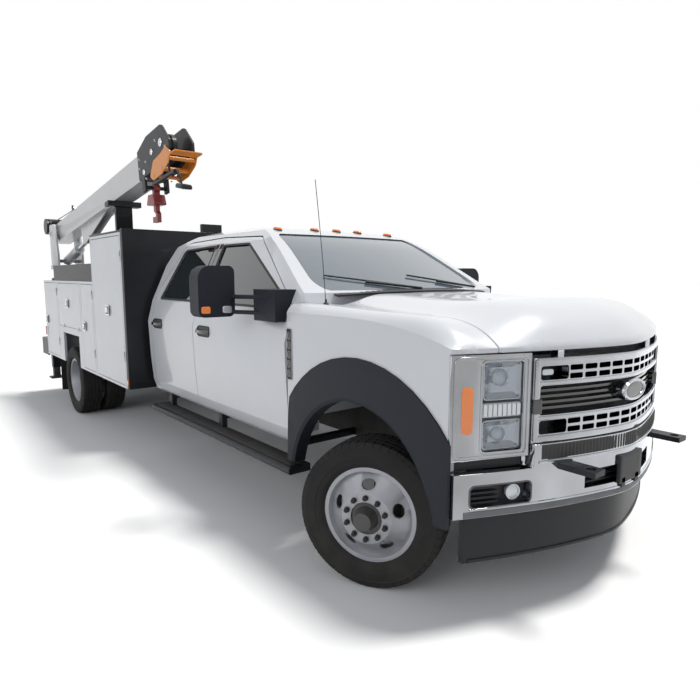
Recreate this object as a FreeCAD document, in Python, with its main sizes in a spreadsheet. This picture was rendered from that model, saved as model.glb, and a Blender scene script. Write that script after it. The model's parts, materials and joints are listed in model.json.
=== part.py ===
import FreeCAD, Part

import math
import os

import Sketcher

# A crew-cab work truck with a service body and a telescopic crane on its right rear corner.
# Frame: +X forward, +Y to the truck's left, +Z up, origin on the ground under the middle of its box.

SIZES = {
    # whole truck
    "wheelbase": 5156,
    "front_reach": 1070,
    "rear_reach": 6800,
    "overrun": 40,
    "seat_gap": 0.3,
    "run_gap": 6,
    # tyres and rims
    "tyre_diameter": 811,
    "tyre_width": 226,
    "tread_half_width": 92,
    "tyre_shoulder_drop": 12,
    "bead_radius": 248,
    "bead_half_width": 76,
    "rim_flange_radius": 262,
    "rim_flange_width": 12,
    "rim_wall": 9,
    "rim_well_depth": 38,
    "rim_disc_wall": 12,
    "hand_hole_radius": 26,
    "hand_hole_length": 40,
    "hand_hole_circle": 176,
    "hub_radius": 88,
    "hub_seat_radius": 140,
    "hub_length": 60,
    "front_track": 1900,
    "rear_track_mid": 1880,
    "twin_spacing": 270,
    "steer_angle": 28,
    "kingpin_inset": 150,
    # frame and axles
    "rail_half_gap": 356,
    "rail_flange": 76,
    "rail_web": 8,
    "rail_bottom": 560,
    "rail_height": 215,
    "rail_front_reach": 700,
    "rail_rear_reach": 6610,
    "crossmember_radius": 45,
    "axle_tube_radius": 52,
    "differential_radius": 165,
    "differential_width": 240,
    "spring_leaf_width": 70,
    "spring_leaf": 14,
    "spring_half_length": 680,
    "spring_side": 478,
    "coil_radius": 66,
    "coil_side": 560,
    "knuckle_width": 90,
    "knuckle_height": 230,
    "kingpin_radius": 22,
    "spindle_radius": 38,
    "engine_length": 880,
    "engine_width": 640,
    "engine_bottom": 560,
    "engine_height": 660,
    "engine_back": 560,
    "gearbox_radius": 138,
    "gearbox_length": 900,
    "shaft_radius": 45,
    "tank_length": 900,
    "tank_width": 620,
    "tank_height": 300,
    "tank_back": 6380,
    "tank_round": 40,
    # cab
    "cab_back": 3030,
    "cab_front": 690,
    "cowl_back": 420,
    "firewall_half_width": 900,
    "sill_height": 610,
    "sill_half_width": 955,
    "rocker_height": 700,
    "crease_height": 870,
    "crease_half_width": 985,
    "door_half_width": 1016,
    "door_bulge_height": 1250,
    "belt_height": 1440,
    "belt_half_width": 965,
    "window_top_rise": 485,
    "window_top_half_width": 742,
    "rail_top_rise": 565,
    "rail_top_half_width": 670,
    "roof_rise": 616,
    "roof_front_rise": 555,
    "roof_front_back": 1375,
    "roof_crown_back": 1950,
    "roof_rear_rise": 574,
    "roof_rear_back": 2620,
    "roof_tail_rise": 492,
    "roof_tail_back": 2930,
    "back_top_rise": 330,
    "glass_base_rise": 120,
    "glass_base_back": 480,
    "glass_side_sweep": 190,
    "glass_side_drop": 20,
    "roof_side_sweep": 90,
    "cab_wall": 60,
    "door_inner_half_width": 925,
    "floor_height": 800,
    "floor_wall": 40,
    "roof_wall": 45,
    "firewall_back": 560,
    "rocker_inner_half_width": 850,
    "screen_base_half_width": 805,
    "screen_top_half_width": 650,
    "rear_screen_half_width": 640,
    "column_length": 300,
    "door_gap": 9,
    "door_split_back": 2050,
    "rear_door_back": 2950,
    "door_bottom": 622,
    "door_top_rise": 528,
    "pillar_foot_back": 720,
    "pillar_foot_rise": 50,
    "pillar_head_back": 1545,
    "door_head_round": 120,
    "window_frame": 62,
    "glass_wall": 5,
    "glass_setback": 12,
    "seat_height": 1130,
    "seat_depth": 520,
    "seat_cushion": 150,
    "seat_back_height": 620,
    "seat_half_width": 560,
    "front_seat_back": 1900,
    "rear_seat_back": 2800,
    "seat_gap_middle": 120,
    "dash_back": 1010,
    "dash_drop": 40,
    "dash_depth": 300,
    "steering_wheel_radius": 190,
    "steering_wheel_rim": 15,
    "steering_wheel_side": 420,
    "steering_wheel_back": 1180,
    "steering_wheel_height": 1330,
    "steering_wheel_tilt": 25,
    # hood, fenders and front
    "hood_half_width": 790,
    "hood_gap": 7,
    "hood_rear_back": 430,
    "hood_rear_height": 1555,
    "hood_mid_reach": 250,
    "hood_mid_height": 1535,
    "hood_nose_reach": 840,
    "hood_nose_height": 1478,
    "hood_lip_reach": 970,
    "hood_lip_height": 1345,
    "hood_edge_drop": 22,
    "hood_thickness": 30,
    "fender_half_width": 1003,
    "fender_edge_drop": 110,
    "fender_rear_back": 676,
    "fender_bottom": 560,
    "nose_corner_sweep": 320,
    "fender_wall": 25,
    "arch_radius": 600,
    "flare_radius": 830,
    "flare_inner_radius": 590,
    "flare_out": 1035,
    "flare_wall": 30,
    "flare_bottom": 520,
    "headlamp_bottom": 830,
    "headlamp_inner": 630,
    "headlamp_depth": 200,
    "lens_rim": 34,
    "lens_outer": 865,
    "lens_pocket": 45,
    "lens_setback": 7,
    "lens_round": 16,
    "flare_edge": 10,
    "headlamp_end_reach": 640,
    "flare_front_reach": 660,
    "flare_lip": 60,
    "grille_bottom": 890,
    "grille_top": 1290,
    "grille_reach": 980,
    "grille_depth": 110,
    "grille_frame": 38,
    "grille_bar": 26,
    "grille_slot_height": 66,
    "grille_end_slot": 150,
    "grille_web": 14,
    "grille_slot_round": 14,
    "badge_half_width": 95,
    "badge_half_height": 42,
    "bumper_top": 775,
    "bumper_centre_top": 886,
    "bumper_bottom": 565,
    "bumper_half_width": 1000,
    "bumper_reach": 995,
    "bumper_depth": 70,
    "bumper_opening_half_width": 330,
    "bumper_opening_height": 90,
    "fog_half_width": 150,
    "fog_half_height": 55,
    "fog_side": 780,
    "fog_round": 26,
    "dam_bottom": 315,
    "dam_half_width": 900,
    "dam_reach": 930,
    "dam_wall": 30,
    "hook_side": 450,
    "hook_height": 770,
    "hook_radius": 14,
    "hook_half_width": 45,
    # steps and mirrors
    "step_front_back": 560,
    "step_rear_back": 2850,
    "step_height": 500,
    "step_outer": 1080,
    "step_width": 165,
    "step_thickness": 50,
    "step_round": 18,
    "mirror_reach": 1380,
    "mirror_width": 255,
    "mirror_height": 330,
    "mirror_drop": 40,
    "mirror_depth": 130,
    "mirror_back": 1240,
    "mirror_arm_radius": 14,
    "mirror_sail_length": 260,
    "mirror_sail_height": 200,
    # service body
    "body_front_back": 3170,
    "body_rear_back": 6450,
    "body_half_width": 1190,
    "body_bottom": 600,
    "body_low_top": 1600,
    "body_tall_top": 2060,
    "body_tall_back": 4150,
    "body_side_depth": 500,
    "body_wall": 28,
    "bed_floor_height": 960,
    "bed_floor_wall": 60,
    "body_arch_back": 4800,
    "body_arch_rear_back": 5520,
    "body_arch_top": 965,
    "seam_rear_back": 5720,
    "seam_mid_back": 4650,
    "seam_wheel_height": 1040,
    "body_door_thickness": 32,
    "body_door_gap": 6,
    "body_door_margin": 26,
    "door_pivot_out": 5,
    "knuckle_radius": 4.7,
    "knuckle_length": 45,
    "knuckle_plate": 24,
    "knuckle_sink": 3,
    "bulkhead_front_back": 3115,
    "bulkhead_top": 2090,
    "tray_height": 190,
    "tray_wall": 20,
    "rest_width": 330,
    "rest_length": 120,
    "rest_wall": 24,
    "lightbox_width": 210,
    "lightbox_height": 80,
    "lightbox_side": 300,
    "tailgate_height": 480,
    "tailgate_thickness": 45,
    "rear_bumper_top": 800,
    "rear_bumper_height": 230,
    "leg_side": 1060,
    "leg_outer": 100,
    "leg_foot": 170,
    "leg_foot_thickness": 20,
    "leg_clear": 215,
    "leg_wall": 8,
    "hitch_side": 64,
    "hitch_bore": 51,
    "hitch_length": 220,
    "hitch_height": 520,
    "flap_back": 5830,
    "flap_bottom": 180,
    "flap_inner": 700,
    "flap_outer": 1180,
    "flap_thickness": 10,
    # crane
    "crane_back": 6140,
    "crane_side": 940,
    "crane_post_radius": 150,
    "crane_foot_radius": 210,
    "crane_foot_thickness": 30,
    "turret_bottom": 1745,
    "rest_back": 3800,
    "inner_boom_start": 150,
    "hook_along": 3400,
    "winch_forward": 240,
    "winch_up": 140,
    "rod_start": 250,
    "turret_ring": 50,
    "cheek_half_gap": 135,
    "cheek_wall": 25,
    "cheek_length": 330,
    "cheek_top": 2330,
    "boom_pivot_back": 6290,
    "boom_pivot_height": 2215,
    "boom_pivot_radius": 32,
    "boom_angle": 7,
    "boom_width": 190,
    "boom_height": 230,
    "boom_wall": 16,
    "boom_length": 3300,
    "boom_tail": 90,
    "boom_clear": 4,
    "head_length": 720,
    "head_height": 330,
    "head_width": 220,
    "head_wall": 22,
    "sheave_radius": 120,
    "sheave_width": 40,
    "cylinder_radius": 58,
    "rod_radius": 28,
    "cylinder_foot_forward": 110,
    "cylinder_foot_down": 360,
    "wedge_forward": 1135,
    "wedge_drop": 275,
    "wedge_length": 1000,
    "wedge_width": 90,
    "barrel_length": 640,
    "eye_radius": 40,
    "winch_radius": 105,
    "winch_length": 330,
    "hook_block_width": 110,
    "hook_block_drop": 300,
    "hook_ear": 78,
}


class Size(float):
    """A number that keeps the expression by which it follows from the sheet's cells."""

    def __new__(cls, value, text=None):
        size = float.__new__(cls, value)
        size.text = repr(float(value)) if text is None else text
        return size

    def __add__(self, other):
        return Size(float(self) + float(other), "(%s + %s)" % (self.text, text_of(other)))

    def __radd__(self, other):
        return Size(float(other) + float(self), "(%s + %s)" % (text_of(other), self.text))

    def __sub__(self, other):
        return Size(float(self) - float(other), "(%s - %s)" % (self.text, text_of(other)))

    def __rsub__(self, other):
        return Size(float(other) - float(self), "(%s - %s)" % (text_of(other), self.text))

    def __mul__(self, other):
        return Size(float(self) * float(other), "(%s * %s)" % (self.text, text_of(other)))

    def __rmul__(self, other):
        return Size(float(other) * float(self), "(%s * %s)" % (text_of(other), self.text))

    def __truediv__(self, other):
        return Size(float(self) / float(other), "(%s / %s)" % (self.text, text_of(other)))

    def __neg__(self):
        return Size(-float(self), "(0 - %s)" % self.text)

    def __pow__(self, power):
        return Size(float(self) ** float(power), "pow(%s; %s)" % (self.text, text_of(power)))


def text_of(number):
    return number.text if isinstance(number, Size) else repr(float(number))


def cosine(angle):
    return Size(math.cos(math.radians(angle)), "cos(%s)" % text_of(angle))


def sine(angle):
    return Size(math.sin(math.radians(angle)), "sin(%s)" % text_of(angle))


class Sheet:
    """Every driving size as an attribute, each tied to its own cell."""


doc = FreeCAD.newDocument("ServiceCraneTruck")
sheet = doc.addObject("Spreadsheet::Sheet", "Sizes")
d = Sheet()
for row, (alias, value) in enumerate(SIZES.items(), start=1):
    sheet.set("A%d" % row, alias)
    sheet.set("B%d" % row, repr(float(value)))
    sheet.setAlias("B%d" % row, alias)
    setattr(d, alias, Size(value, "Sizes." + alias))
doc.recompute()
for top in ("window_top", "rail_top", "roof", "roof_front", "roof_rear", "roof_tail", "back_top",
            "glass_base",
            "door_top", "pillar_foot"):
    setattr(d, top + "_height", d.belt_height + getattr(d, top + "_rise"))
d.dash_height = d.belt_height - d.dash_drop
d.headlamp_top = d.hood_lip_height - d.hood_edge_drop
d.mirror_bottom = d.belt_height - d.mirror_drop

ZERO = Size(0, "0")
X_AXIS = FreeCAD.Vector(1, 0, 0)
Y_AXIS = FreeCAD.Vector(0, 1, 0)
Z_AXIS = FreeCAD.Vector(0, 0, 1)
NODES = []
ROD_SIDES = 20

# The front axle's place along the truck, from which everything else is measured rearwards.
FRONT = (d.rear_reach - d.front_reach) / 2


def back(distance):
    """Place along the truck of what lies this far behind the front axle."""
    return FRONT - distance


def ahead(distance):
    """Place along the truck of what lies this far ahead of the front axle."""
    return FRONT + distance


def bind(thing, path, size):
    if isinstance(size, Size) and "Sizes." in size.text:
        thing.setExpression(path, size.text)


def put(thing, x=ZERO, y=ZERO, z=ZERO):
    """Moves a thing's own placement to a place written in the sheet's sizes."""
    thing.Placement.Base = FreeCAD.Vector(x, y, z)
    bind(thing, "Placement.Base.x", x)
    bind(thing, "Placement.Base.y", y)
    bind(thing, "Placement.Base.z", z)
    return thing


def turn(thing, axis, angle, x=ZERO, y=ZERO, z=ZERO):
    """Turns a thing about an axis through its own origin and puts that origin at x, y, z."""
    thing.Placement = FreeCAD.Placement(FreeCAD.Vector(x, y, z), FreeCAD.Rotation(axis, float(angle)))
    bind(thing, "Placement.Rotation.Angle", angle)
    bind(thing, "Placement.Base.x", x)
    bind(thing, "Placement.Base.y", y)
    bind(thing, "Placement.Base.z", z)
    return thing


def swing(thing, angle, x, y):
    """Turns a finished thing about the upright line through x, y."""
    return turn(thing, Z_AXIS, angle, x - x * cosine(angle) + y * sine(angle),
                y - x * sine(angle) - y * cosine(angle), ZERO)


def box(x0, x1, y0, y1, z0, z1):
    """Box between two corners."""
    solid = doc.addObject("Part::Box", "Box")
    for side, low, high in (("Length", x0, x1), ("Width", y0, y1), ("Height", z0, z1)):
        span = high - low
        setattr(solid, side, float(span))
        bind(solid, side, span)
    return put(solid, x0, y0, z0)


def rod(axis, x, y, z, radius, length, sides=ROD_SIDES):
    """Round bar, kept as a prism of many sides, that starts at x, y, z and runs along an axis."""
    solid = doc.addObject("Part::Prism", "Rod")
    solid.Polygon = sides
    solid.Circumradius = float(radius)
    solid.Height = float(length)
    bind(solid, "Circumradius", radius)
    bind(solid, "Height", length)
    turns = {"x": (Y_AXIS, 90), "y": (X_AXIS, -90), "z": (Z_AXIS, 0)}
    solid.Placement = FreeCAD.Placement(FreeCAD.Vector(), FreeCAD.Rotation(*turns[axis]))
    return put(solid, x, y, z)


def bore_radius(radius):
    """Corner radius of a many-sided bore in which a pin of this radius turns freely."""
    return (radius + d.seat_gap) / cosine(Size(180 / ROD_SIDES))


def combine(kind, things):
    result = doc.addObject(kind, kind.split("Multi")[-1])
    result.Shapes = things
    return result


def fuse(*things):
    return combine("Part::MultiFuse", list(things))


def common(*things):
    return combine("Part::MultiCommon", list(things))


def cut(base, *tools):
    result = doc.addObject("Part::Cut", "Cut")
    result.Base = base
    result.Tool = tools[0] if len(tools) == 1 else fuse(*tools)
    return result


def group(*things):
    """Solids of one node that do not touch each other."""
    result = doc.addObject("Part::Compound", "Group")
    result.Links = list(things)
    return result


def mirror(thing):
    """The same thing on the truck's other side."""
    result = doc.addObject("Part::Mirroring", "Mirror")
    result.Source = thing
    result.Normal = Y_AXIS
    return result


def corner_arc(before, here, after, radius):
    """Ends and centre of the arc that rounds one corner of an outline."""
    first = FreeCAD.Vector(before[0] - here[0], before[1] - here[1], 0)
    second = FreeCAD.Vector(after[0] - here[0], after[1] - here[1], 0)
    first.normalize()
    second.normalize()
    half = first.getAngle(second) / 2
    reach = radius / math.tan(half)
    point = FreeCAD.Vector(here[0], here[1], 0)
    middle = first + second
    middle.normalize()
    return point + first * reach, point + second * reach, point + middle * (radius / math.sin(half))


def outline(plane, points):
    """Closed sketch through the points, each (u, v) or (u, v, radius), bound to the sheet."""
    sketch = doc.addObject("Sketcher::SketchObject", "Outline")
    turns = {"xy": FreeCAD.Rotation(), "xz": FreeCAD.Rotation(X_AXIS, 90),
             "yz": FreeCAD.Rotation(FreeCAD.Vector(1, 1, 1), 120)}
    sketch.Placement = FreeCAD.Placement(FreeCAD.Vector(), turns[plane])
    count = len(points)
    starts = []
    ends = []
    arcs = {}
    for index, here in enumerate(points):
        if len(here) == 3:
            before = points[index - 1]
            after = points[(index + 1) % count]
            start, end, centre = corner_arc(before, here, after, float(here[2]))
            arcs[index] = (start, end, centre)
        else:
            start = end = FreeCAD.Vector(here[0], here[1], 0)
        starts.append(start)
        ends.append(end)
    lines = []
    for index in range(count):
        edge = Part.LineSegment(ends[index], starts[(index + 1) % count])
        lines.append(sketch.addGeometry(edge, False))
    rules = []
    named = []
    for index, here in enumerate(points):
        into = lines[index - 1]
        out = lines[index]
        if index in arcs:
            start, end, centre = arcs[index]
            radius = float(here[2])
            first = math.atan2(start.y - centre.y, start.x - centre.x)
            second = math.atan2(end.y - centre.y, end.x - centre.x)
            left_turn = ((start - centre).cross(end - centre)).z > 0
            low, high = (first, second) if left_turn else (second, first)
            circle = Part.Circle(centre, FreeCAD.Vector(0, 0, 1), radius)
            arc = sketch.addGeometry(Part.ArcOfCircle(circle, low, high), False)
            near, far = (1, 2) if left_turn else (2, 1)
            mark = sketch.addGeometry(Part.Point(FreeCAD.Vector(here[0], here[1], 0)), True)
            rules.append(Sketcher.Constraint("Tangent", into, 2, arc, near))
            rules.append(Sketcher.Constraint("Tangent", out, 1, arc, far))
            rules.append(Sketcher.Constraint("PointOnObject", mark, 1, into))
            rules.append(Sketcher.Constraint("PointOnObject", mark, 1, out))
            named.append((len(rules), here[2]))
            rules.append(Sketcher.Constraint("Radius", arc, radius))
            corner = mark
        else:
            rules.append(Sketcher.Constraint("Coincident", into, 2, out, 1))
            corner = out
        named.append((len(rules), here[0]))
        rules.append(Sketcher.Constraint("DistanceX", corner, 1, float(here[0])))
        named.append((len(rules), here[1]))
        rules.append(Sketcher.Constraint("DistanceY", corner, 1, float(here[1])))
    sketch.addConstraint(rules)
    for place, size in named:
        bind(sketch, "Constraints[%d]" % place, size)
    return sketch


def prism(plane, points, start, end):
    """Outline drawn in a plane and carried from one place to another along its normal."""
    sketch = outline(plane, points)
    normal = {"xy": Z_AXIS, "xz": -Y_AXIS, "yz": X_AXIS}[plane]
    solid = doc.addObject("Part::Extrusion", "Prism")
    solid.Base = sketch
    solid.DirMode = "Custom"
    solid.Solid = True
    if plane == "xz":
        solid.Dir = Y_AXIS
    else:
        solid.Dir = normal
    span = end - start
    solid.LengthFwd = float(span)
    bind(solid, "LengthFwd", span)
    axis = {"xy": "z", "xz": "y", "yz": "x"}[plane]
    return put(solid, **{axis: start})


def feature(shape):
    """Form that no primitive or sketch gives, worked out from the sheet's sizes."""
    solid = doc.addObject("Part::Feature", "Form")
    solid.Shape = shape
    return solid


def node(name, thing):
    """Names a finished piece."""
    thing.Label = name
    NODES.append(thing)
    return thing


def flat_turning(profile, sides):
    """Solid with flat sides about the Y axis through the origin; profile holds (radius, y) pairs."""
    step = 2 * math.pi / sides
    faces = []
    for side in range(sides):
        rows = []
        for angle in (side * step - math.pi / 2, (side + 1) * step - math.pi / 2):
            rows.append([FreeCAD.Vector(radius * math.cos(angle), y, radius * math.sin(angle))
                         for radius, y in profile])
        for index in range(len(profile)):
            corners = []
            for point in (rows[0][index - 1], rows[0][index], rows[1][index], rows[1][index - 1]):
                if all(point.distanceToPoint(other) > 1e-6 for other in corners):
                    corners.append(point)
            if len(corners) > 2:
                faces.append(Part.Face(Part.makePolygon(corners + corners[:1])))
    solid = Part.makeSolid(Part.makeShell(faces))
    if solid.Volume < 0:
        solid.reverse()
    return feature(solid)


AXLE_HEIGHT = d.tyre_diameter / 2
KINGPIN_SIDE = d.front_track / 2 - d.kingpin_inset
TWIN_OUTER_SIDE = d.rear_track_mid / 2 + d.twin_spacing / 2
TWIN_INNER_SIDE = d.rear_track_mid / 2 - d.twin_spacing / 2
DISC_FACE = d.twin_spacing / 2
TYRE_SIDES = 32
DISC_SIDES = 24
HUB_SIDES = 16
HAND_HOLES = 5
HAND_HOLE_SIDES = 10


def tyre():
    """Tyre about the origin, its beads on the rim's seats."""
    outer = d.tyre_diameter / 2
    half = d.tyre_width / 2
    side = [(d.bead_radius, d.bead_half_width),
            (d.rim_flange_radius + d.seat_gap * 2, d.bead_half_width + d.rim_flange_width + d.seat_gap),
            (d.rim_flange_radius + d.rim_flange_width, d.bead_half_width + d.rim_flange_width * 2),
            ((outer + d.bead_radius) / 2, half),
            (outer - d.tyre_shoulder_drop * 3, half - d.tyre_shoulder_drop / 2),
            (outer, d.tread_half_width)]
    return flat_turning([(radius, -y) for radius, y in side] + side[::-1], TYRE_SIDES)


def rim():
    """Rim with its flanges and well, and a disc that stands out to the face where the nuts sit."""
    half = d.bead_half_width + d.rim_flange_width
    seat = d.bead_radius - d.seat_gap
    well = d.bead_radius - d.rim_well_depth
    ring = [(d.rim_flange_radius, -half), (seat, -d.bead_half_width), (well, ZERO), (seat, d.bead_half_width),
            (d.rim_flange_radius, half), (seat - d.rim_wall, half), (well - d.rim_wall, ZERO),
            (seat - d.rim_wall, -half)]
    edge = (well + seat) / 2
    foot = d.bead_half_width * 3 / 4
    disc = [(d.hub_radius, DISC_FACE), (d.hub_seat_radius, DISC_FACE), (edge, foot),
            (edge, foot - d.rim_disc_wall * 3 / 2),
            (d.hub_seat_radius - d.rim_disc_wall / 4, DISC_FACE - d.rim_disc_wall),
            (d.hub_radius, DISC_FACE - d.rim_disc_wall)]
    tools = []
    for number in range(HAND_HOLES):
        turn_angle = 2 * math.pi * number / HAND_HOLES + math.pi / 2
        corners = []
        for corner in range(HAND_HOLE_SIDES):
            angle = 2 * math.pi * corner / HAND_HOLE_SIDES
            along = d.hand_hole_length * math.sin(angle)
            radius = d.hand_hole_circle + d.hand_hole_radius * math.cos(angle)
            corners.append(FreeCAD.Vector(radius * math.cos(turn_angle) - along * math.sin(turn_angle), ZERO,
                                          radius * math.sin(turn_angle) + along * math.cos(turn_angle)))
        opening = Part.Face(Part.makePolygon(corners + corners[:1]))
        tools.append(feature(opening.extrude(FreeCAD.Vector(ZERO, DISC_FACE + d.overrun, ZERO))))
    return fuse(flat_turning(ring, TYRE_SIDES), cut(flat_turning(disc, DISC_SIDES), *tools))


def hub(inboard, outboard):
    """Hub about the origin with its stepped cap."""
    cap = d.hub_radius * 3 / 4
    step = inboard + (outboard - inboard) * 3 / 4
    return flat_turning([(ZERO, inboard), (d.hub_radius, inboard), (d.hub_radius, step), (cap, step),
                         (cap * 3 / 4, outboard), (ZERO, outboard)], HUB_SIDES)


def make_wheels():
    """Steered front wheels on their knuckles, and twin rear wheels on one hub."""
    front_side = d.front_track / 2
    inboard = -d.bead_half_width
    tyre_form = tyre()
    rim_form = rim()
    front_hub = hub(inboard, DISC_FACE + d.hub_length)
    rear_hub = hub(-DISC_FACE, DISC_FACE + d.hub_length / 2)
    left_knuckle = knuckle(front_side + inboard)
    rear = back(d.wheelbase)
    for side_name, side in (("left", 1), ("right", -1)):
        facing = ZERO if side == 1 else Size(180, "180")
        away = Size(180, "180") - facing
        pieces = {
            "front_tyre_": put(group(tyre_form), FRONT, front_side * side, AXLE_HEIGHT),
            "front_rim_": turn(group(rim_form, front_hub), Z_AXIS, facing, FRONT, front_side * side,
                               AXLE_HEIGHT),
            "knuckle_": left_knuckle if side == 1 else mirror(left_knuckle),
        }
        for name, piece in pieces.items():
            node(name + side_name, swing(group(piece), d.steer_angle, FRONT, KINGPIN_SIDE * side))
        outer = TWIN_OUTER_SIDE * side
        inner = TWIN_INNER_SIDE * side
        node("rear_tyres_" + side_name, group(put(group(tyre_form), rear, outer, AXLE_HEIGHT),
                                              put(group(tyre_form), rear, inner, AXLE_HEIGHT)))
        node("rear_rims_" + side_name, group(turn(group(rim_form), Z_AXIS, away, rear, outer, AXLE_HEIGHT),
                                             turn(group(rim_form), Z_AXIS, facing, rear, inner, AXLE_HEIGHT),
                                             turn(group(rear_hub), Z_AXIS, facing, rear,
                                                  d.rear_track_mid / 2 * side, AXLE_HEIGHT)))


def knuckle(hub_inner_side):
    """Left knuckle: a block on its kingpin with the spindle that reaches the hub."""
    half = d.knuckle_width / 2
    tall = d.knuckle_height / 2
    block = box(FRONT - half, FRONT + half, KINGPIN_SIDE - half, KINGPIN_SIDE + half,
                AXLE_HEIGHT - tall, AXLE_HEIGHT + tall)
    pin = rod("z", FRONT, KINGPIN_SIDE, AXLE_HEIGHT - tall - d.knuckle_width / 2, d.kingpin_radius,
              d.knuckle_height + d.knuckle_width)
    spindle = rod("y", FRONT, KINGPIN_SIDE, AXLE_HEIGHT, d.spindle_radius,
                  hub_inner_side - KINGPIN_SIDE - d.seat_gap)
    arm = box(FRONT - half - d.knuckle_width, FRONT - half, KINGPIN_SIDE - half * 2 / 3, KINGPIN_SIDE,
              AXLE_HEIGHT - d.kingpin_radius, AXLE_HEIGHT + d.kingpin_radius)
    return fuse(block, pin, spindle, arm)


def make_front_axle():
    """Solid front axle: a tube with its differential bowl and a yoke at each end."""
    half = d.knuckle_width / 2
    tall = d.knuckle_height / 2 + d.run_gap
    lug = d.knuckle_width / 3
    yoke_side = KINGPIN_SIDE - d.knuckle_width
    tube = rod("y", FRONT, -yoke_side, AXLE_HEIGHT, d.axle_tube_radius, yoke_side * 2)
    bowl = rod("y", FRONT, -d.rail_half_gap / 2 - d.differential_width / 2, AXLE_HEIGHT,
               d.differential_radius * 4 / 5, d.differential_width)
    pieces = [tube, bowl]
    holes = []
    for side in (-1, 1):
        inner = min(yoke_side * side, (KINGPIN_SIDE + half) * side)
        outer = max(yoke_side * side, (KINGPIN_SIDE + half) * side)
        for z0, z1 in ((AXLE_HEIGHT + tall, AXLE_HEIGHT + tall + lug),
                       (AXLE_HEIGHT - tall - lug, AXLE_HEIGHT - tall)):
            pieces.append(box(FRONT - half, FRONT + half, inner, outer, z0, z1))
        web_inner = min(yoke_side * side, (yoke_side - lug) * side)
        web_outer = max(yoke_side * side, (yoke_side - lug) * side)
        pieces.append(box(FRONT - half, FRONT + half, web_inner, web_outer,
                          AXLE_HEIGHT - tall - lug, AXLE_HEIGHT + tall + lug))
        holes.append(rod("z", FRONT, KINGPIN_SIDE * side, AXLE_HEIGHT - d.knuckle_height,
                         bore_radius(d.kingpin_radius), d.knuckle_height * 2))
    node("front_axle", cut(fuse(*pieces), *holes))


def make_rear_axle():
    """Live rear axle: tubes out to the hubs and the differential's round housing."""
    rear = back(d.wheelbase)
    end = d.rear_track_mid / 2 - d.twin_spacing / 2 - d.seat_gap
    tube = rod("y", rear, -end, AXLE_HEIGHT, d.axle_tube_radius, end * 2)
    bowl = rod("y", rear, -d.differential_width / 2, AXLE_HEIGHT, d.differential_radius, d.differential_width)
    nose = rod("x", rear, ZERO, AXLE_HEIGHT, d.differential_radius / 2, d.differential_radius * 3 / 2)
    node("rear_axle", fuse(tube, bowl, nose))


def channel(side):
    """One frame rail, a channel open to the inside."""
    low = back(d.rail_rear_reach)
    high = ahead(d.rail_front_reach)
    outer = d.rail_half_gap + d.rail_flange
    top = d.rail_bottom + d.rail_height
    solid = box(low, high, d.rail_half_gap, outer, d.rail_bottom, top)
    hollow = box(low - d.overrun, high + d.overrun, d.rail_half_gap - d.overrun, outer - d.rail_web,
                 d.rail_bottom + d.rail_web, top - d.rail_web)
    rail = cut(solid, hollow)
    return rail if side == 1 else mirror(rail)


def make_frame():
    """Ladder frame: two channels joined by round cross members."""
    pieces = [channel(1), channel(-1)]
    span = d.rail_half_gap + d.rail_flange - d.rail_web / 2
    for place in (d.cab_back - d.cab_wall, d.body_tall_back, d.body_rear_back):
        pieces.append(rod("y", back(place), -span, d.rail_bottom + d.rail_height / 2, d.crossmember_radius,
                          span * 2))
    pieces.append(rod("y", ahead(d.rail_front_reach - d.crossmember_radius * 2), -span,
                      d.rail_bottom + d.rail_height / 2, d.crossmember_radius, span * 2))
    node("frame_ladder", fuse(*pieces))


def leaf_pack(half_length, level, thickness, rise):
    """One bowed leaf of a spring over the rear axle."""
    rear = back(d.wheelbase)
    points = [(rear - half_length, level + rise), (rear - half_length / 2, level + rise / 4), (rear, level),
              (rear + half_length / 2, level + rise / 4), (rear + half_length, level + rise),
              (rear + half_length, level + rise + thickness),
              (rear + half_length / 2, level + rise / 4 + thickness), (rear, level + thickness),
              (rear - half_length / 2, level + rise / 4 + thickness),
              (rear - half_length, level + rise + thickness)]
    return prism("xz", points, d.spring_side - d.spring_leaf_width / 2,
                 d.spring_side + d.spring_leaf_width / 2)


def make_springs():
    """Rear leaf packs with their hangers, and front coils with their towers."""
    rear = back(d.wheelbase)
    level = AXLE_HEIGHT + d.axle_tube_radius
    half = d.spring_half_length
    rise = d.rail_bottom - level - d.spring_leaf * 2
    leaves = [leaf_pack(half * (4 - number) / 4, level + d.spring_leaf * (number - 3) * -1 + ZERO,
                        d.spring_leaf,
                        rise * (4 - number) / 4) for number in range(3)]
    hangers = []
    for place in (rear - half, rear + half):
        hangers.append(box(place - d.spring_leaf * 2, place + d.spring_leaf * 2,
                           d.rail_half_gap + d.rail_flange, d.spring_side + d.spring_leaf_width / 2,
                           d.rail_bottom - d.spring_leaf, d.rail_bottom + d.rail_height / 2))
    saddle = box(rear - d.axle_tube_radius, rear + d.axle_tube_radius,
                 d.spring_side - d.spring_leaf_width / 2, d.spring_side + d.spring_leaf_width / 2,
                 AXLE_HEIGHT, level + d.spring_leaf * 2)
    saddle = cut(saddle, rod("y", rear, ZERO, AXLE_HEIGHT, d.axle_tube_radius, d.rear_track_mid))
    pack = fuse(saddle, *(leaves + hangers))
    coil_foot = AXLE_HEIGHT + d.axle_tube_radius * 3 / 4
    coil = rod("z", FRONT, d.coil_side, coil_foot, d.coil_radius,
               d.rail_bottom + d.rail_height / 2 - coil_foot)
    coil = cut(coil, rod("y", FRONT, ZERO, AXLE_HEIGHT, d.axle_tube_radius, d.rear_track_mid))
    tower = box(FRONT - d.coil_radius * 5 / 4, FRONT + d.coil_radius * 5 / 4, d.rail_half_gap + d.rail_flange,
                d.coil_side + d.coil_radius, d.rail_bottom + d.rail_height / 2, d.rail_bottom + d.rail_height)
    strut = fuse(coil, tower)
    node("springs", group(pack, mirror(pack), strut, mirror(strut)))


TANK_HANGER_SHARES = (0.15, 0.75)


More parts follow.
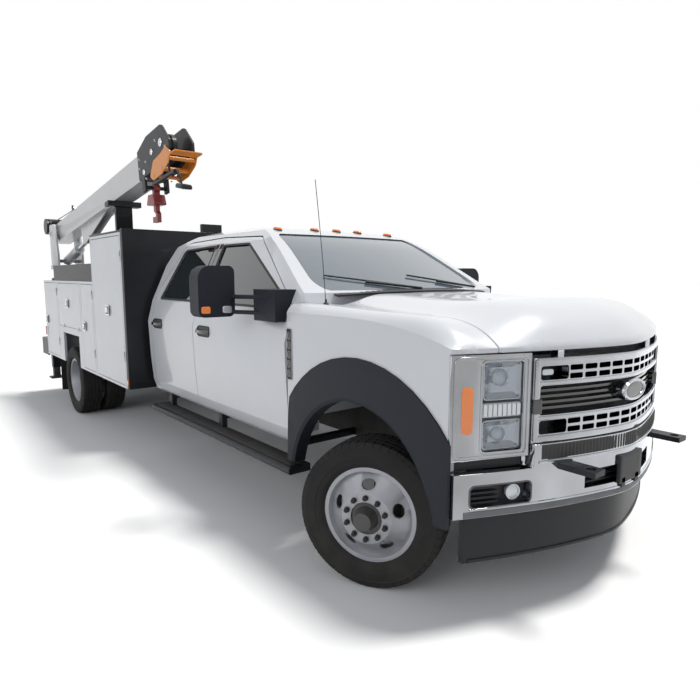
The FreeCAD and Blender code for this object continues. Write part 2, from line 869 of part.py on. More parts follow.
def make_driveline():
    """Engine as one block, its gearbox, the shaft to the rear axle, and the fuel tank."""
    rear_face = back(d.engine_back)
    engine = box(rear_face, rear_face + d.engine_length, -d.engine_width / 2, d.engine_width / 2,
                 d.engine_bottom + d.run_gap * 3, d.engine_bottom + d.engine_height)
    node("engine_block", engine)
    shaft_start = rear_face - d.gearbox_length
    gearbox = rod("x", shaft_start, ZERO, d.engine_bottom + d.run_gap * 3 + d.gearbox_radius / 2,
                  d.gearbox_radius,
                  d.gearbox_length)
    nose = back(d.wheelbase) + d.differential_radius * 3 / 2 + d.run_gap * 3 / 2
    level = AXLE_HEIGHT
    run = shaft_start - nose
    rise = d.engine_bottom + d.run_gap * 3 + d.gearbox_radius / 2 - level
    length = math.hypot(run, rise)
    tilt = math.degrees(math.atan2(rise, run))
    shaft = doc.addObject("Part::Cylinder", "Rod")
    shaft.Radius = float(d.shaft_radius)
    bind(shaft, "Radius", d.shaft_radius)
    shaft.Height = length
    shaft.Placement = FreeCAD.Placement(FreeCAD.Vector(nose, ZERO, level),
                                        FreeCAD.Rotation(Y_AXIS, 90 - tilt))
    driveline = fuse(gearbox, shaft)
    tank_rear = back(d.tank_back)
    half = d.tank_width / 2
    top = d.rail_bottom + d.rail_height
    tank = prism("yz", [(-half, top - d.tank_height - d.run_gap, d.tank_round),
                        (half, top - d.tank_height - d.run_gap, d.tank_round),
                        (half, top - d.run_gap * 2, d.tank_round),
                        (-half, top - d.run_gap * 2, d.tank_round)],
                 tank_rear, tank_rear + d.tank_length)
    ledge = d.rail_bottom + d.rail_web + d.seat_gap
    hanger_side = d.rail_half_gap + d.rail_flange - d.rail_web - d.seat_gap
    hangers = [box(tank_rear + d.tank_length * share, tank_rear + d.tank_length * share + d.spring_leaf_width,
                   -hanger_side, hanger_side, ledge, ledge + d.spring_leaf) for share in TANK_HANGER_SHARES]
    node("driveline_and_tank", group(driveline, fuse(tank, *hangers)))


def curve_wire(points, curved):
    """Closed wire through the points; the stretch between two of them follows one smooth curve."""
    first, last = curved
    vectors = [FreeCAD.Vector(*point) for point in points]
    spline = Part.BSplineCurve()
    spline.interpolate(vectors[first:last + 1])
    edges = [spline.toShape()]
    rest = vectors[last:] + vectors[:first + 1]
    for start, end in zip(rest, rest[1:]):
        edges.append(Part.LineSegment(start, end).toShape())
    return Part.Wire(edges)


def loft(wires):
    """Closed smooth solid through the wires in turn."""
    solid = Part.makeLoft(wires, True, False)
    return feature(solid)


CAB_STATION_SHARES = (-1, -0.6, 0, 0.6, 1)


def cab_form(inset, roof_inset, bottom):
    """Body of the cab between its side walls: side profiles at five stations across, lofted."""
    width = d.door_half_width + d.overrun
    wires = []
    for share in CAB_STATION_SHARES:
        sweep = share * share
        base = d.glass_base_back + d.glass_side_sweep * sweep + inset * 2
        roof_drop = d.glass_side_drop * sweep + roof_inset
        head = d.roof_front_back + d.roof_side_sweep * sweep + inset
        points = [
            (back(d.cab_back) + inset, bottom),
            (back(d.cab_back) + inset, d.back_top_height - roof_drop),
            (back(d.roof_tail_back) + inset, d.roof_tail_height - roof_drop),
            (back(d.roof_rear_back) + inset / 2, d.roof_rear_height - roof_drop),
            (back(d.roof_crown_back), d.roof_height - roof_drop),
            (back(head), d.roof_front_height - roof_drop),
            (back((head + base) / 2), (d.roof_front_height + d.glass_base_height) / 2
             + d.glass_side_drop - roof_drop * 3 / 4),
            (back(base), d.glass_base_height - roof_inset),
            (back(base), d.belt_height),
            (back(d.cab_front) - inset, d.belt_height),
            (back(d.cab_front) - inset, bottom),
        ]
        wires.append(curve_wire([(x, width * share, z) for x, z in points], (2, 7)))
    return loft(wires)


def cab_section(inset_low, inset_high, bottom):
    """Front view of the cab's side walls, carried along the truck."""
    side = [
        (d.sill_half_width - inset_low, bottom),
        (d.crease_half_width - inset_low, d.rocker_height),
        (d.door_half_width - d.glass_setback - inset_low, d.crease_height + d.cab_wall),
        (d.door_half_width - inset_low, d.door_bulge_height),
        (d.belt_half_width - inset_high, d.belt_height),
        (d.window_top_half_width - inset_high, d.window_top_height),
        (d.rail_top_half_width - inset_high, d.rail_top_height),
    ]
    points = side + [(side[-1][0] / 2, d.roof_height + d.overrun),
                     (-side[-1][0] / 2, d.roof_height + d.overrun)]
    points = points + [(-y, z) for y, z in side[::-1]]
    return prism("yz", points, back(d.cab_back) - d.overrun, back(d.cowl_back) + d.overrun)


def front_door_points():
    """Side outline of a front door, forward edge first."""
    return [
        (back(d.cab_front), d.door_bottom, d.glass_setback * 3),
        (back(d.cab_front), d.belt_height),
        (back(d.pillar_foot_back), d.pillar_foot_height),
        (back(d.pillar_head_back - d.door_head_round), d.door_top_height - d.glass_side_drop,
         d.door_head_round),
        (back(d.door_split_back) + d.door_gap / 2, d.door_top_height),
        (back(d.door_split_back) + d.door_gap / 2, d.door_bottom),
    ]


def rear_door_points():
    """Side outline of a rear door, its upper rear corner slanted like the cab's back."""
    return [
        (back(d.door_split_back) - d.door_gap / 2, d.door_bottom),
        (back(d.door_split_back) - d.door_gap / 2, d.door_top_height),
        (back(d.rear_door_back - d.door_head_round * 2), d.door_top_height - d.glass_side_drop,
         d.door_head_round),
        (back(d.rear_door_back), d.belt_height + d.window_frame * 2, d.door_head_round),
        (back(d.rear_door_back), d.door_bottom, d.glass_setback * 3),
    ]


def window_points(rear):
    """Side outline of a door's window."""
    low = d.belt_height + d.glass_setback
    high = d.window_top_height - d.glass_setback
    corner = d.window_frame / 2
    if rear:
        return [
            (back(d.door_split_back) - d.window_frame, low, corner),
            (back(d.door_split_back) - d.window_frame, high, corner),
            (back(d.rear_door_back - d.door_head_round * 2), high - d.glass_side_drop, d.door_head_round / 2),
            (back(d.rear_door_back) + d.window_frame * 3 / 2, low, corner),
        ]
    return [
        (back(d.cab_front) - d.window_frame, low, corner),
        (back(d.cab_front) - d.window_frame * 3 / 2, low + d.window_frame),
        (back(d.pillar_head_back) - d.glass_setback * 2, high, d.window_frame),
        (back(d.door_split_back) + d.window_frame, high, corner),
        (back(d.door_split_back) + d.window_frame, low, corner),
    ]


def grown(thing, distance):
    """Flat outline grown outwards all round."""
    offset = doc.addObject("Part::Offset2D", "Grown")
    offset.Source = thing
    offset.Value = float(distance)
    bind(offset, "Value", distance)
    offset.Join = 2
    return offset


def side_prism(points, grow=None):
    """Outline in the side view, carried outwards through the left wall of the cab."""
    sketch = outline("xz", points)
    base = grown(sketch, grow) if grow is not None else sketch
    solid = doc.addObject("Part::Extrusion", "Prism")
    solid.Base = base
    solid.DirMode = "Custom"
    solid.Solid = True
    solid.Dir = Y_AXIS
    span = d.door_half_width - d.door_inner_half_width + d.window_top_half_width
    solid.LengthFwd = float(span)
    bind(solid, "LengthFwd", span)
    return put(solid, ZERO, d.window_top_half_width / 2, ZERO)


def glass_layer():
    """Slanted sheet in which the left side windows lie."""
    low = d.belt_height - d.overrun
    high = d.window_top_height + d.overrun
    slope = (d.belt_half_width - d.window_top_half_width) / (d.window_top_height - d.belt_height)
    outer = d.belt_half_width - d.glass_setback
    points = [
        (outer + slope * d.overrun, low),
        (outer - slope * (high - d.belt_height), high),
        (outer - d.glass_wall - slope * (high - d.belt_height), high),
        (outer - d.glass_wall + slope * d.overrun, low),
    ]
    return prism("yz", points, back(d.cab_back), back(d.cab_front) + d.overrun)


def make_cab():
    """Hollow cab split where its real panels meet, its doors, their windows and the fixed glass."""
    outer = common(cab_form(ZERO, ZERO, d.sill_height), cab_section(ZERO, ZERO, d.sill_height))
    inner_bottom = d.floor_height + d.floor_wall
    inner_form = cab_form(d.cab_wall, d.roof_wall, inner_bottom)
    high_inset = d.cab_wall
    wall = d.door_inner_half_width
    points = [
        (wall, inner_bottom),
        (wall, d.belt_height - d.window_frame),
        (d.belt_half_width - high_inset, d.belt_height),
        (d.window_top_half_width - high_inset, d.window_top_height),
        (d.rail_top_half_width - high_inset, d.roof_height),
    ]
    inner_section = prism("yz", points + [(-y, z) for y, z in points[::-1]],
                          back(d.cab_back), back(d.cowl_back) + d.overrun)
    inner = common(inner_form, inner_section)
    foot = box(back(d.cab_front) - d.cab_wall * 2, back(d.firewall_back), -d.firewall_half_width,
               d.firewall_half_width, d.rocker_height, d.belt_height)
    foot_inner = box(back(d.cab_front) - d.cab_wall * 3, back(d.firewall_back) - d.cab_wall / 2,
                     -d.firewall_half_width + d.cab_wall, d.firewall_half_width - d.cab_wall,
                     inner_bottom, d.belt_height - d.cab_wall / 2)
    below = box(back(d.cab_back) - d.overrun, back(d.firewall_back) + d.overrun,
                -d.rocker_inner_half_width, d.rocker_inner_half_width, d.sill_height - d.overrun,
                d.floor_height)
    door_back_block = box(back(d.cab_back), back(d.cowl_back), -wall, wall, d.sill_height - d.overrun,
                          inner_bottom + d.overrun)
    opening_block = box(back(d.cab_back), back(d.cowl_back), -wall + d.door_gap, wall - d.door_gap,
                        d.sill_height - d.overrun, inner_bottom)
    openings = []
    for points in (front_door_points(), rear_door_points()):
        opening = cut(side_prism(points, d.door_gap), opening_block)
        openings.extend([opening, mirror(opening)])
    screen = prism("yz", [
        (-d.screen_base_half_width, d.glass_base_height + d.glass_setback, d.window_frame),
        (d.screen_base_half_width, d.glass_base_height + d.glass_setback, d.window_frame),
        (d.screen_top_half_width, d.roof_front_height - d.glass_setback * 2, d.window_frame),
        (-d.screen_top_half_width, d.roof_front_height - d.glass_setback * 2, d.window_frame),
    ], back(d.roof_front_back + d.roof_side_sweep * 2), back(d.cowl_back) + d.overrun)
    rear_screen = prism("yz", [
        (-d.rear_screen_half_width, d.belt_height + d.window_frame, d.window_frame),
        (d.rear_screen_half_width, d.belt_height + d.window_frame, d.window_frame),
        (d.rear_screen_half_width - d.window_frame, d.back_top_height - d.window_frame / 2, d.window_frame),
        (-d.rear_screen_half_width + d.window_frame, d.back_top_height - d.window_frame / 2, d.window_frame),
    ], back(d.cab_back) - d.overrun, back(d.cab_back) + d.cab_wall + d.overrun)
    middle = back(d.door_split_back)
    gap = d.door_gap
    post = []
    post_top = d.rail_top_height + d.glass_side_drop / 2
    lean_share = (post_top - d.window_top_height) / (d.roof_height - d.window_top_height)
    post_lean = (d.window_top_half_width - d.rail_top_half_width) * lean_share
    for shift in (gap, d.cab_wall, d.seat_gap):
        post.append([(wall - shift, inner_bottom - d.floor_wall),
                     (wall - shift, d.belt_height - d.window_frame),
                     (d.belt_half_width - high_inset - shift, d.belt_height),
                     (d.window_top_half_width - high_inset - shift, d.window_top_height),
                     (d.window_top_half_width - post_lean - high_inset - shift, post_top)])
    pillar = fuse(prism("yz", post[0] + post[1][::-1], middle - d.cab_wall, middle + d.cab_wall),
                  prism("yz", post[2] + post[1][::-1], middle - d.cab_wall, middle - d.cab_wall + gap),
                  prism("yz", post[2] + post[1][::-1], middle + d.cab_wall - gap, middle + d.cab_wall))
    hull = cut(fuse(outer, foot), inner, foot_inner, below, screen, rear_screen, *openings)
    node("cab_shell", fuse(hull, pillar, mirror(pillar)))

    panel = cut(outer, inner_section, door_back_block)
    for name, points, rear in (("front_door_", front_door_points(), False),
                               ("rear_door_", rear_door_points(), True)):
        window = side_prism(window_points(rear))
        leaf = cut(common(panel, side_prism(points)), window)
        pane = common(glass_layer(), side_prism(window_points(rear)))
        node(name + "left", group(leaf, pane))
        node(name + "right", group(mirror(leaf), mirror(pane)))

    front_layer = put(cab_form(ZERO, ZERO, d.sill_height), -d.glass_setback * 2)
    rear_layer = put(cab_form(ZERO, ZERO, d.sill_height), -d.glass_setback * 2 - d.glass_wall * 2)
    windshield = common(cut(front_layer, rear_layer), group(screen))
    back_pane = common(box(back(d.cab_back) + d.cab_wall / 2,
                           back(d.cab_back) + d.cab_wall / 2 + d.glass_wall,
                           -d.rear_screen_half_width, d.rear_screen_half_width, d.belt_height, d.roof_height),
                       group(rear_screen))
    node("cab_glass", group(windshield, back_pane))


def make_cab_inside():
    """Bench seats, dashboard and steering wheel."""
    floor = d.floor_height + d.floor_wall + d.seat_gap
    benches = []
    for place in (d.front_seat_back, d.rear_seat_back):
        rear = back(place)
        points = [
            (rear, floor), (rear + d.seat_depth, floor), (rear + d.seat_depth, d.seat_height, d.window_frame),
            (rear + d.seat_cushion, d.seat_height - d.glass_side_drop, d.glass_setback),
            (rear + d.seat_cushion / 2, d.seat_height + d.seat_back_height, d.glass_setback * 2),
            (rear - d.seat_cushion / 4, d.seat_height + d.seat_back_height, d.glass_setback * 2),
        ]
        middle = d.seat_gap_middle / 2 if place is d.front_seat_back else d.seat_gap
        for side in (-1, 1):
            low = min(middle * side, (middle + d.seat_half_width) * side)
            high = max(middle * side, (middle + d.seat_half_width) * side)
            benches.append(prism("xz", points, low, high))
    node("cab_seats", group(*benches))
    dash_side = d.firewall_half_width - d.cab_wall - d.seat_gap
    dash = prism("xz", [
        (back(d.dash_back), d.dash_height - d.dash_depth, d.window_frame),
        (back(d.firewall_back + d.cab_wall), d.dash_height - d.dash_depth),
        (back(d.firewall_back + d.cab_wall), d.dash_height),
        (back(d.dash_back), d.dash_height, d.window_frame),
    ], -dash_side, dash_side)
    tube = d.steering_wheel_rim
    section = [(d.steering_wheel_radius + tube * math.cos(math.pi * step / 3),
                tube * math.sin(math.pi * step / 3))
               for step in range(6)]
    ring = turn(group(flat_turning(section, DISC_SIDES)), X_AXIS, Size(90, "90"))
    boss = rod("z", ZERO, ZERO, -tube * 4, tube * 3, tube * 5)
    spokes = box(-d.steering_wheel_radius, d.steering_wheel_radius, -tube, tube, -tube / 2, tube / 2)
    column = rod("z", ZERO, ZERO, -d.column_length, tube * 3 / 2, d.column_length)
    wheel = fuse(ring, boss, spokes, column)
    turn(wheel, Y_AXIS, d.steering_wheel_tilt - 90, back(d.steering_wheel_back), d.steering_wheel_side,
         d.steering_wheel_height)
    node("dashboard", group(dash, wheel))


FRONT_STATION_SHARES = (-1, -0.86, -0.7, -0.54, -0.3, 0, 0.3, 0.54, 0.7, 0.86, 1)
FRONT_DROP_SHARES = (1, 0.56, 0.5, 0.14, 0.03, 0, 0.03, 0.14, 0.5, 0.56, 1)
NOSE_POWER = 1.5
HOOD_SWEEP_SHARE = 0.85
ARCH_SIDES = 48
BAND_SHARES = (-1, -0.75, -0.5, -0.25, 0, 0.25, 0.5, 0.75, 1)


def nose_sweep(side):
    """How far the nose falls back at a distance from its middle: a power of that distance."""
    return d.nose_corner_sweep * (side / d.fender_half_width) ** NOSE_POWER


def front_form(inset, lower, bottom, side_inset):
    """Hood and fenders as one body: top lines at seven stations across, lofted."""
    width = d.fender_half_width - side_inset
    wires = []
    for share, drop_share in zip(FRONT_STATION_SHARES, FRONT_DROP_SHARES):
        drop = d.fender_edge_drop * drop_share + lower
        sweep = nose_sweep(d.fender_half_width * abs(share)) + inset
        nose = ahead(d.hood_lip_reach - sweep)
        points = [
            (back(d.fender_rear_back), bottom),
            (back(d.fender_rear_back), d.hood_rear_height - drop),
            (back(d.hood_rear_back), d.hood_rear_height - drop),
            (ahead(d.hood_mid_reach), d.hood_mid_height - drop),
            (ahead(d.hood_nose_reach - sweep * HOOD_SWEEP_SHARE), d.hood_nose_height - drop),
            (nose, d.hood_lip_height - lower),
            (nose, bottom),
        ]
        wires.append(curve_wire([(x, width * share, z) for x, z in points], (1, 5)))
    return loft(wires)


def hood_region(gap):
    """Block over the plan of the hood, above the fenders' inner edges."""
    half = d.hood_half_width + gap
    low = d.hood_lip_height - d.hood_edge_drop
    return box(back(d.hood_rear_back) - gap, ahead(d.hood_lip_reach) + d.overrun, -half, half,
               low - gap, d.hood_rear_height + d.overrun)


def make_front():
    """Hood, fenders, flares, lamps, grille, bumper and air dam."""
    outer = front_form(ZERO, ZERO, d.fender_bottom, ZERO)
    inner = front_form(d.fender_wall * 2, d.hood_thickness, d.fender_bottom - d.overrun, d.fender_wall)
    skin = cut(outer, put(group(inner), -d.fender_wall / 2))
    hood = common(skin, hood_region(ZERO))
    node("hood", hood)
    arch = rod("y", FRONT, -d.flare_out - d.overrun, AXLE_HEIGHT, d.arch_radius,
               (d.flare_out + d.overrun) * 2,
               ARCH_SIDES)
    cover = box(back(d.fender_rear_back) - d.overrun, ahead(d.hood_lip_reach) + d.overrun,
                -d.hood_half_width + d.fender_wall, d.hood_half_width - d.fender_wall,
                d.fender_bottom - d.overrun, d.hood_rear_height + d.overrun)
    face = box(ahead(d.headlamp_end_reach), ahead(d.hood_lip_reach) + d.overrun, -d.flare_out, d.flare_out,
               d.fender_bottom - d.overrun, d.headlamp_top + d.seat_gap)
    bumper_end = d.bumper_reach - nose_sweep(d.bumper_half_width)
    bumper_room = box(ahead(bumper_end - d.bumper_depth - d.run_gap), ahead(d.hood_lip_reach) + d.overrun,
                      -d.flare_out, d.flare_out, d.fender_bottom - d.overrun, d.bumper_top + d.run_gap)
    cab_room = common(cab_form(-d.run_gap, -d.run_gap, d.sill_height - d.overrun),
                      cab_section(-d.run_gap, -d.run_gap, d.sill_height - d.overrun))
    trunk = fuse(arch, hood_region(d.hood_gap), cover, face, bumper_room, cab_room)
    fender = common(cut(group(skin), trunk),
                    box(back(d.fender_rear_back), ahead(d.hood_lip_reach), d.hood_half_width - d.fender_wall,
                        d.flare_out, d.fender_bottom, d.hood_rear_height))
    node("front_fenders", group(fender, mirror(fender)))

    lip_in = d.fender_half_width - d.flare_lip
    skin_out = d.fender_half_width + d.seat_gap
    lip_radius = d.arch_radius * cosine(Size(180 / ARCH_SIDES)) - d.seat_gap
    ring = flat_turning([
        (d.flare_inner_radius, lip_in), (d.flare_inner_radius, d.flare_out - d.flare_edge),
        (d.flare_inner_radius + d.flare_edge * 2, d.flare_out),
        (d.flare_radius - d.flare_lip, d.flare_out - d.flare_edge), (d.flare_radius, skin_out + d.flare_edge),
        (d.flare_radius, skin_out), (lip_radius, skin_out), (lip_radius, lip_in),
    ], ARCH_SIDES)
    keep = box(back(d.fender_rear_back - d.flare_wall), ahead(d.flare_front_reach), lip_in - d.overrun,
               d.flare_out + d.overrun, d.flare_bottom, AXLE_HEIGHT + d.flare_radius)
    flare = common(put(ring, FRONT, ZERO, AXLE_HEIGHT), keep)
    node("fender_flares", group(flare, mirror(flare)))

    lamp = common(
        cut(front_form(ZERO, ZERO, d.headlamp_bottom, ZERO),
            put(group(front_form(ZERO, ZERO, d.headlamp_bottom - d.overrun, -d.overrun)), -d.headlamp_depth)),
        box(ahead(d.headlamp_end_reach + d.seat_gap), ahead(d.hood_lip_reach), d.headlamp_inner, d.flare_out,
            d.headlamp_bottom, d.headlamp_top - d.run_gap))
    pocket_back = d.hood_lip_reach - nose_sweep(d.lens_outer) - d.lens_pocket
    rim = d.lens_rim
    pocket = slot(ahead(pocket_back), ahead(d.hood_lip_reach) + d.overrun, d.headlamp_inner + rim,
                  d.lens_outer,
                  d.headlamp_bottom + rim, d.headlamp_top - rim, d.lens_round)
    lens_room = slot(ahead(pocket_back) + d.seat_gap, ahead(d.hood_lip_reach) + d.overrun,
                     d.headlamp_inner + rim + d.seat_gap, d.lens_outer - d.seat_gap,
                     d.headlamp_bottom + rim + d.seat_gap, d.headlamp_top - rim - d.seat_gap, d.lens_round)
    lens = common(put(group(lamp), -d.lens_setback), lens_room)
    case = cut(lamp, pocket)
    node("headlamps", group(case, mirror(case), lens, mirror(lens)))
    make_grille()
    make_front_bumper()


def nose_band(reach, half_width, depth, low, high):
    """Bowed band across the nose, along the nose's own curve in plan, of even depth."""
    front = []
    for share in BAND_SHARES:
        front.append(FreeCAD.Vector(ahead(reach - nose_sweep(half_width * abs(share))), half_width * share,
                                    low))
    rear = [FreeCAD.Vector(point.x - depth, point.y, low) for point in front]
    curves = []
    for points in (front, rear[::-1]):
        curve = Part.BSplineCurve()
        curve.interpolate(points)
        curves.append(curve.toShape())
    sides = [Part.LineSegment(front[-1], rear[-1]).toShape(), Part.LineSegment(rear[0], front[0]).toShape()]
    wire = Part.Wire([curves[0], sides[0], curves[1], sides[1]])
    return feature(Part.Face(wire).extrude(FreeCAD.Vector(ZERO, ZERO, high - low)))


GRILLE_COLUMNS = 10
GRILLE_SLATS = 4


def slot(rear, front, left, right, low, high, radius):
    """Block along the truck with rounded long edges, for a pocket or a slot in the nose."""
    return prism("yz", [(left, low, radius), (right, low, radius), (right, high, radius),
                        (left, high, radius)],
                 rear, front)


def make_grille():
    """Bowed grille: a frame with two rows of paired slots above and below a bank of thin bars."""
    half = d.headlamp_inner - d.seat_gap
    band = nose_band(d.grille_reach, half, d.grille_depth, d.grille_bottom, d.grille_top)
    tools = []
    row_low = d.grille_bottom + d.grille_frame
    row_high = d.grille_top - d.grille_frame - d.grille_slot_height
    reach = ahead(d.grille_reach) + d.overrun
    behind = ahead(d.grille_reach - d.nose_corner_sweep)
    end_inner = half - d.grille_frame - d.grille_end_slot
    pitch = end_inner * 2 / GRILLE_COLUMNS
    low_slot = (d.grille_slot_height - d.grille_web) / 2
    for low in (row_low, row_high):
        high = low + d.grille_slot_height
        tools.append(slot(behind, reach, end_inner, half - d.grille_frame, low, high, d.grille_slot_round))
        tools.append(slot(behind, reach, -half + d.grille_frame, -end_inner, low, high, d.grille_slot_round))
        for column in range(GRILLE_COLUMNS):
            left = -end_inner + pitch * column + d.grille_web / 2
            for bottom in (low, high - low_slot):
                tools.append(slot(behind, reach, left, left + pitch - d.grille_web, bottom, bottom + low_slot,
                                  d.grille_slot_round / 2))
    middle_low = row_low + d.grille_slot_height + d.grille_bar
    middle_high = row_high - d.grille_bar
    tools.append(slot(behind, reach, -half + d.grille_frame, half - d.grille_frame, middle_low, middle_high,
                      d.grille_slot_round))
    frame = cut(band, *tools)
    slats = []
    for number in range(GRILLE_SLATS):
        low = middle_low + (middle_high - middle_low) * (number + 1) / (GRILLE_SLATS + 1) - d.grille_bar / 4
        slats.append(nose_band(d.grille_reach - d.grille_bar, half, d.grille_bar, low,
                               low + d.grille_bar / 2))
    badge_low = (middle_low + middle_high) / 2 - d.badge_half_height
    badge_high = badge_low + d.badge_half_height * 2
    badge_round = d.badge_half_height - d.boom_clear
    badge = prism("yz", [(-d.badge_half_width, badge_low, badge_round),
                         (d.badge_half_width, badge_low, badge_round),
                         (d.badge_half_width, badge_high, badge_round),
                         (-d.badge_half_width, badge_high, badge_round)],
                  ahead(d.grille_reach - d.grille_bar * 2), ahead(d.grille_reach + d.grille_bar / 4))
    stops = []
    stop_top = d.hood_lip_height - d.hood_edge_drop - d.seat_gap
    stop_front = d.grille_reach - nose_sweep(d.hook_side) - d.grille_frame
    for side in (-1, 1):
        stops.append(box(ahead(stop_front - d.grille_frame), ahead(stop_front),
                         d.hook_side * side - d.grille_bar,
                         d.hook_side * side + d.grille_bar, d.grille_top - d.knuckle_sink, stop_top))
    node("grille", fuse(frame, badge, *(slats + stops)))


def make_front_bumper():
    """Bowed bumper with its centre opening and lamp pockets, the air dam below it and the tow hooks."""
    half = d.bumper_half_width
    end = ahead(d.bumper_reach - nose_sweep(half) - d.bumper_depth) - d.overrun
    band = nose_band(d.bumper_reach, half, d.bumper_depth, d.bumper_bottom, d.bumper_centre_top)
    tools = [box(end, ahead(d.bumper_reach) + d.overrun, -d.bumper_opening_half_width,
                 d.bumper_opening_half_width, d.bumper_bottom + d.bumper_depth,
                 d.bumper_bottom + d.bumper_depth
                 + d.bumper_opening_height)]
    for side in (-1, 1):
        middle = d.fog_side * side
        height = (d.bumper_bottom + d.bumper_top) / 2 - d.run_gap
        tools.append(slot(end, ahead(d.bumper_reach) + d.overrun, middle - d.fog_half_width,
                          middle + d.fog_half_width, height - d.fog_half_height, height + d.fog_half_height,
                          d.fog_round))
        near = (d.headlamp_inner - d.run_gap) * side
        far = (half + d.overrun) * side
        tools.append(box(end, ahead(d.bumper_reach) + d.overrun, min(near, far), max(near, far), d.bumper_top,
                         d.bumper_centre_top + d.overrun))
    brackets = []
    for side in (-1, 1):
        inner = min(d.rail_half_gap * side, (d.rail_half_gap + d.rail_flange) * side)
        outer = max(d.rail_half_gap * side, (d.rail_half_gap + d.rail_flange) * side)
        rear_face = d.bumper_reach - nose_sweep(d.rail_half_gap) - d.bumper_depth
        brackets.append(box(ahead(d.rail_front_reach) + d.seat_gap, ahead(rear_face), inner, outer,
                            d.bumper_bottom + d.bumper_depth * 2, d.bumper_centre_top - d.bumper_depth))
    node("front_bumper", fuse(cut(band, *tools), *brackets))
    dam = nose_band(d.dam_reach, d.dam_half_width, d.dam_wall, d.dam_bottom, d.bumper_bottom - d.seat_gap)
    hooks = []
    for side in (-1, 1):
        root = ahead(d.bumper_reach - nose_sweep(d.hook_side + d.hook_half_width) - d.bumper_depth / 2)
        length = ahead(d.front_reach) - root
        hooks.append(box(root, root + length, d.hook_side * side - d.hook_half_width,
                         d.hook_side * side + d.hook_half_width, d.hook_height - d.hook_radius,
                         d.hook_height + d.hook_radius))
        eye = rod("z", root + length - d.hook_half_width, d.hook_side * side, d.hook_height - d.overrun,
                  d.hook_half_width / 2, d.overrun * 2)
        hooks[-1] = cut(hooks[-1], eye, put(group(band), d.seat_gap))
    node("air_dam_and_hooks", group(dam, *hooks))


def make_steps_and_mirrors():
    """Running boards below the doors and the mirrors on their two arms."""
    low = back(d.step_rear_back)
    high = back(d.step_front_back)
    inner = d.step_outer - d.step_width
    board = prism("yz", [
        (inner, d.step_height - d.step_thickness), (d.step_outer, d.step_height - d.step_thickness,
                                                    d.step_round),
        (d.step_outer, d.step_height, d.step_round), (inner, d.step_height),
    ], low, high)
    arms = []
    for place in (d.step_front_back + d.step_width, (d.step_front_back + d.step_rear_back) / 2,
                  d.step_rear_back - d.step_width):
        arms.append(box(back(place) - d.step_thickness / 2, back(place) + d.step_thickness / 2,
                        d.rail_half_gap + d.rail_flange + d.seat_gap, inner + d.step_thickness,
                        d.rail_bottom + d.run_gap, d.rail_bottom + d.step_thickness))
        arms.append(box(back(place) - d.step_thickness / 2, back(place) + d.step_thickness / 2,
                        inner, inner + d.step_thickness, d.step_height - d.step_thickness / 2,
                        d.rail_bottom + d.step_thickness))
    step = fuse(board, *arms)
    node("running_boards", group(step, mirror(step)))
    rear = back(d.mirror_back)
    inner_side = d.mirror_reach - d.mirror_width
    corner = d.mirror_depth / 3
    head = prism("yz", [(inner_side, d.mirror_bottom, corner), (d.mirror_reach, d.mirror_bottom, corner),
                        (d.mirror_reach, d.mirror_bottom + d.mirror_height, corner * 2),
                        (inner_side, d.mirror_bottom + d.mirror_height, corner)], rear, rear + d.mirror_depth)
    sail_front = back(d.cab_front) - d.window_frame / 2
    sail = box(sail_front - d.mirror_sail_length, sail_front, d.window_top_half_width,
               d.door_half_width + d.mirror_depth / 3, d.belt_height - d.mirror_sail_height * 3 / 10,
               d.belt_height + d.mirror_sail_height * 7 / 10)
    sail = cut(sail, cab_section(-d.seat_gap, -d.seat_gap, d.sill_height))
    bars = []
    for share in (1 / 4, 3 / 4):
        level = d.belt_height - d.mirror_sail_height * 3 / 10 + d.mirror_sail_height * share
        start = (sail_front - d.mirror_sail_length / 2, d.door_half_width)
        end = (rear + d.mirror_depth / 2, inner_side + corner)
        run = end[0] - start[0]
        reach = end[1] - start[1]
        bar = doc.addObject("Part::Prism", "Rod")
        bar.Polygon = 12
        bar.Circumradius = float(d.mirror_arm_radius)
        bind(bar, "Circumradius", d.mirror_arm_radius)
        bar.Height = math.hypot(run, reach)
        heading = FreeCAD.Vector(run, reach, ZERO)
        bar.Placement = FreeCAD.Placement(FreeCAD.Vector(start[0], start[1], level),
                                          FreeCAD.Rotation(Z_AXIS, heading))
        bars.append(bar)
    whole = fuse(head, sail, *bars)
    node("mirror_left", whole)
    node("mirror_right", mirror(whole))


KNUCKLE_SIDES = 12
KNUCKLE_SHARES = (1 / 6, 5 / 6)


def knuckles(axis, line, plate, starts):
    """Round hinge knuckles on a line along an axis, each with the plate that carries it."""
    length = d.knuckle_length
    others = [name for name in "xyz" if name != axis]
    pieces = []
    for start in starts:
        place = dict(zip(others, line))
        place[axis] = start
        pieces.append(rod(axis, place["x"], place["y"], place["z"], d.knuckle_radius, length, KNUCKLE_SIDES))
        reach = dict(zip(others, plate))
        reach[axis] = (start, start + length)
        pieces.append(box(*(reach["x"] + reach["y"] + reach["z"])))
    return pieces


def side_doors():
    """Name, rear, front, bottom and top of each compartment door on the left, tall one first."""
    gap = d.body_door_margin
    low = d.body_bottom + gap
    high = d.body_low_top - gap
    return {
        "tall": (d.body_tall_back - gap, d.body_front_back + gap, low, d.body_tall_top - gap),
        "mid": (d.seam_mid_back - gap, d.body_tall_back + gap, low, high),
        "wheel": (d.seam_rear_back - gap, d.seam_mid_back + gap, d.seam_wheel_height, high),
        "rear": (d.body_rear_back - gap, d.seam_rear_back + gap, low, high),
    }


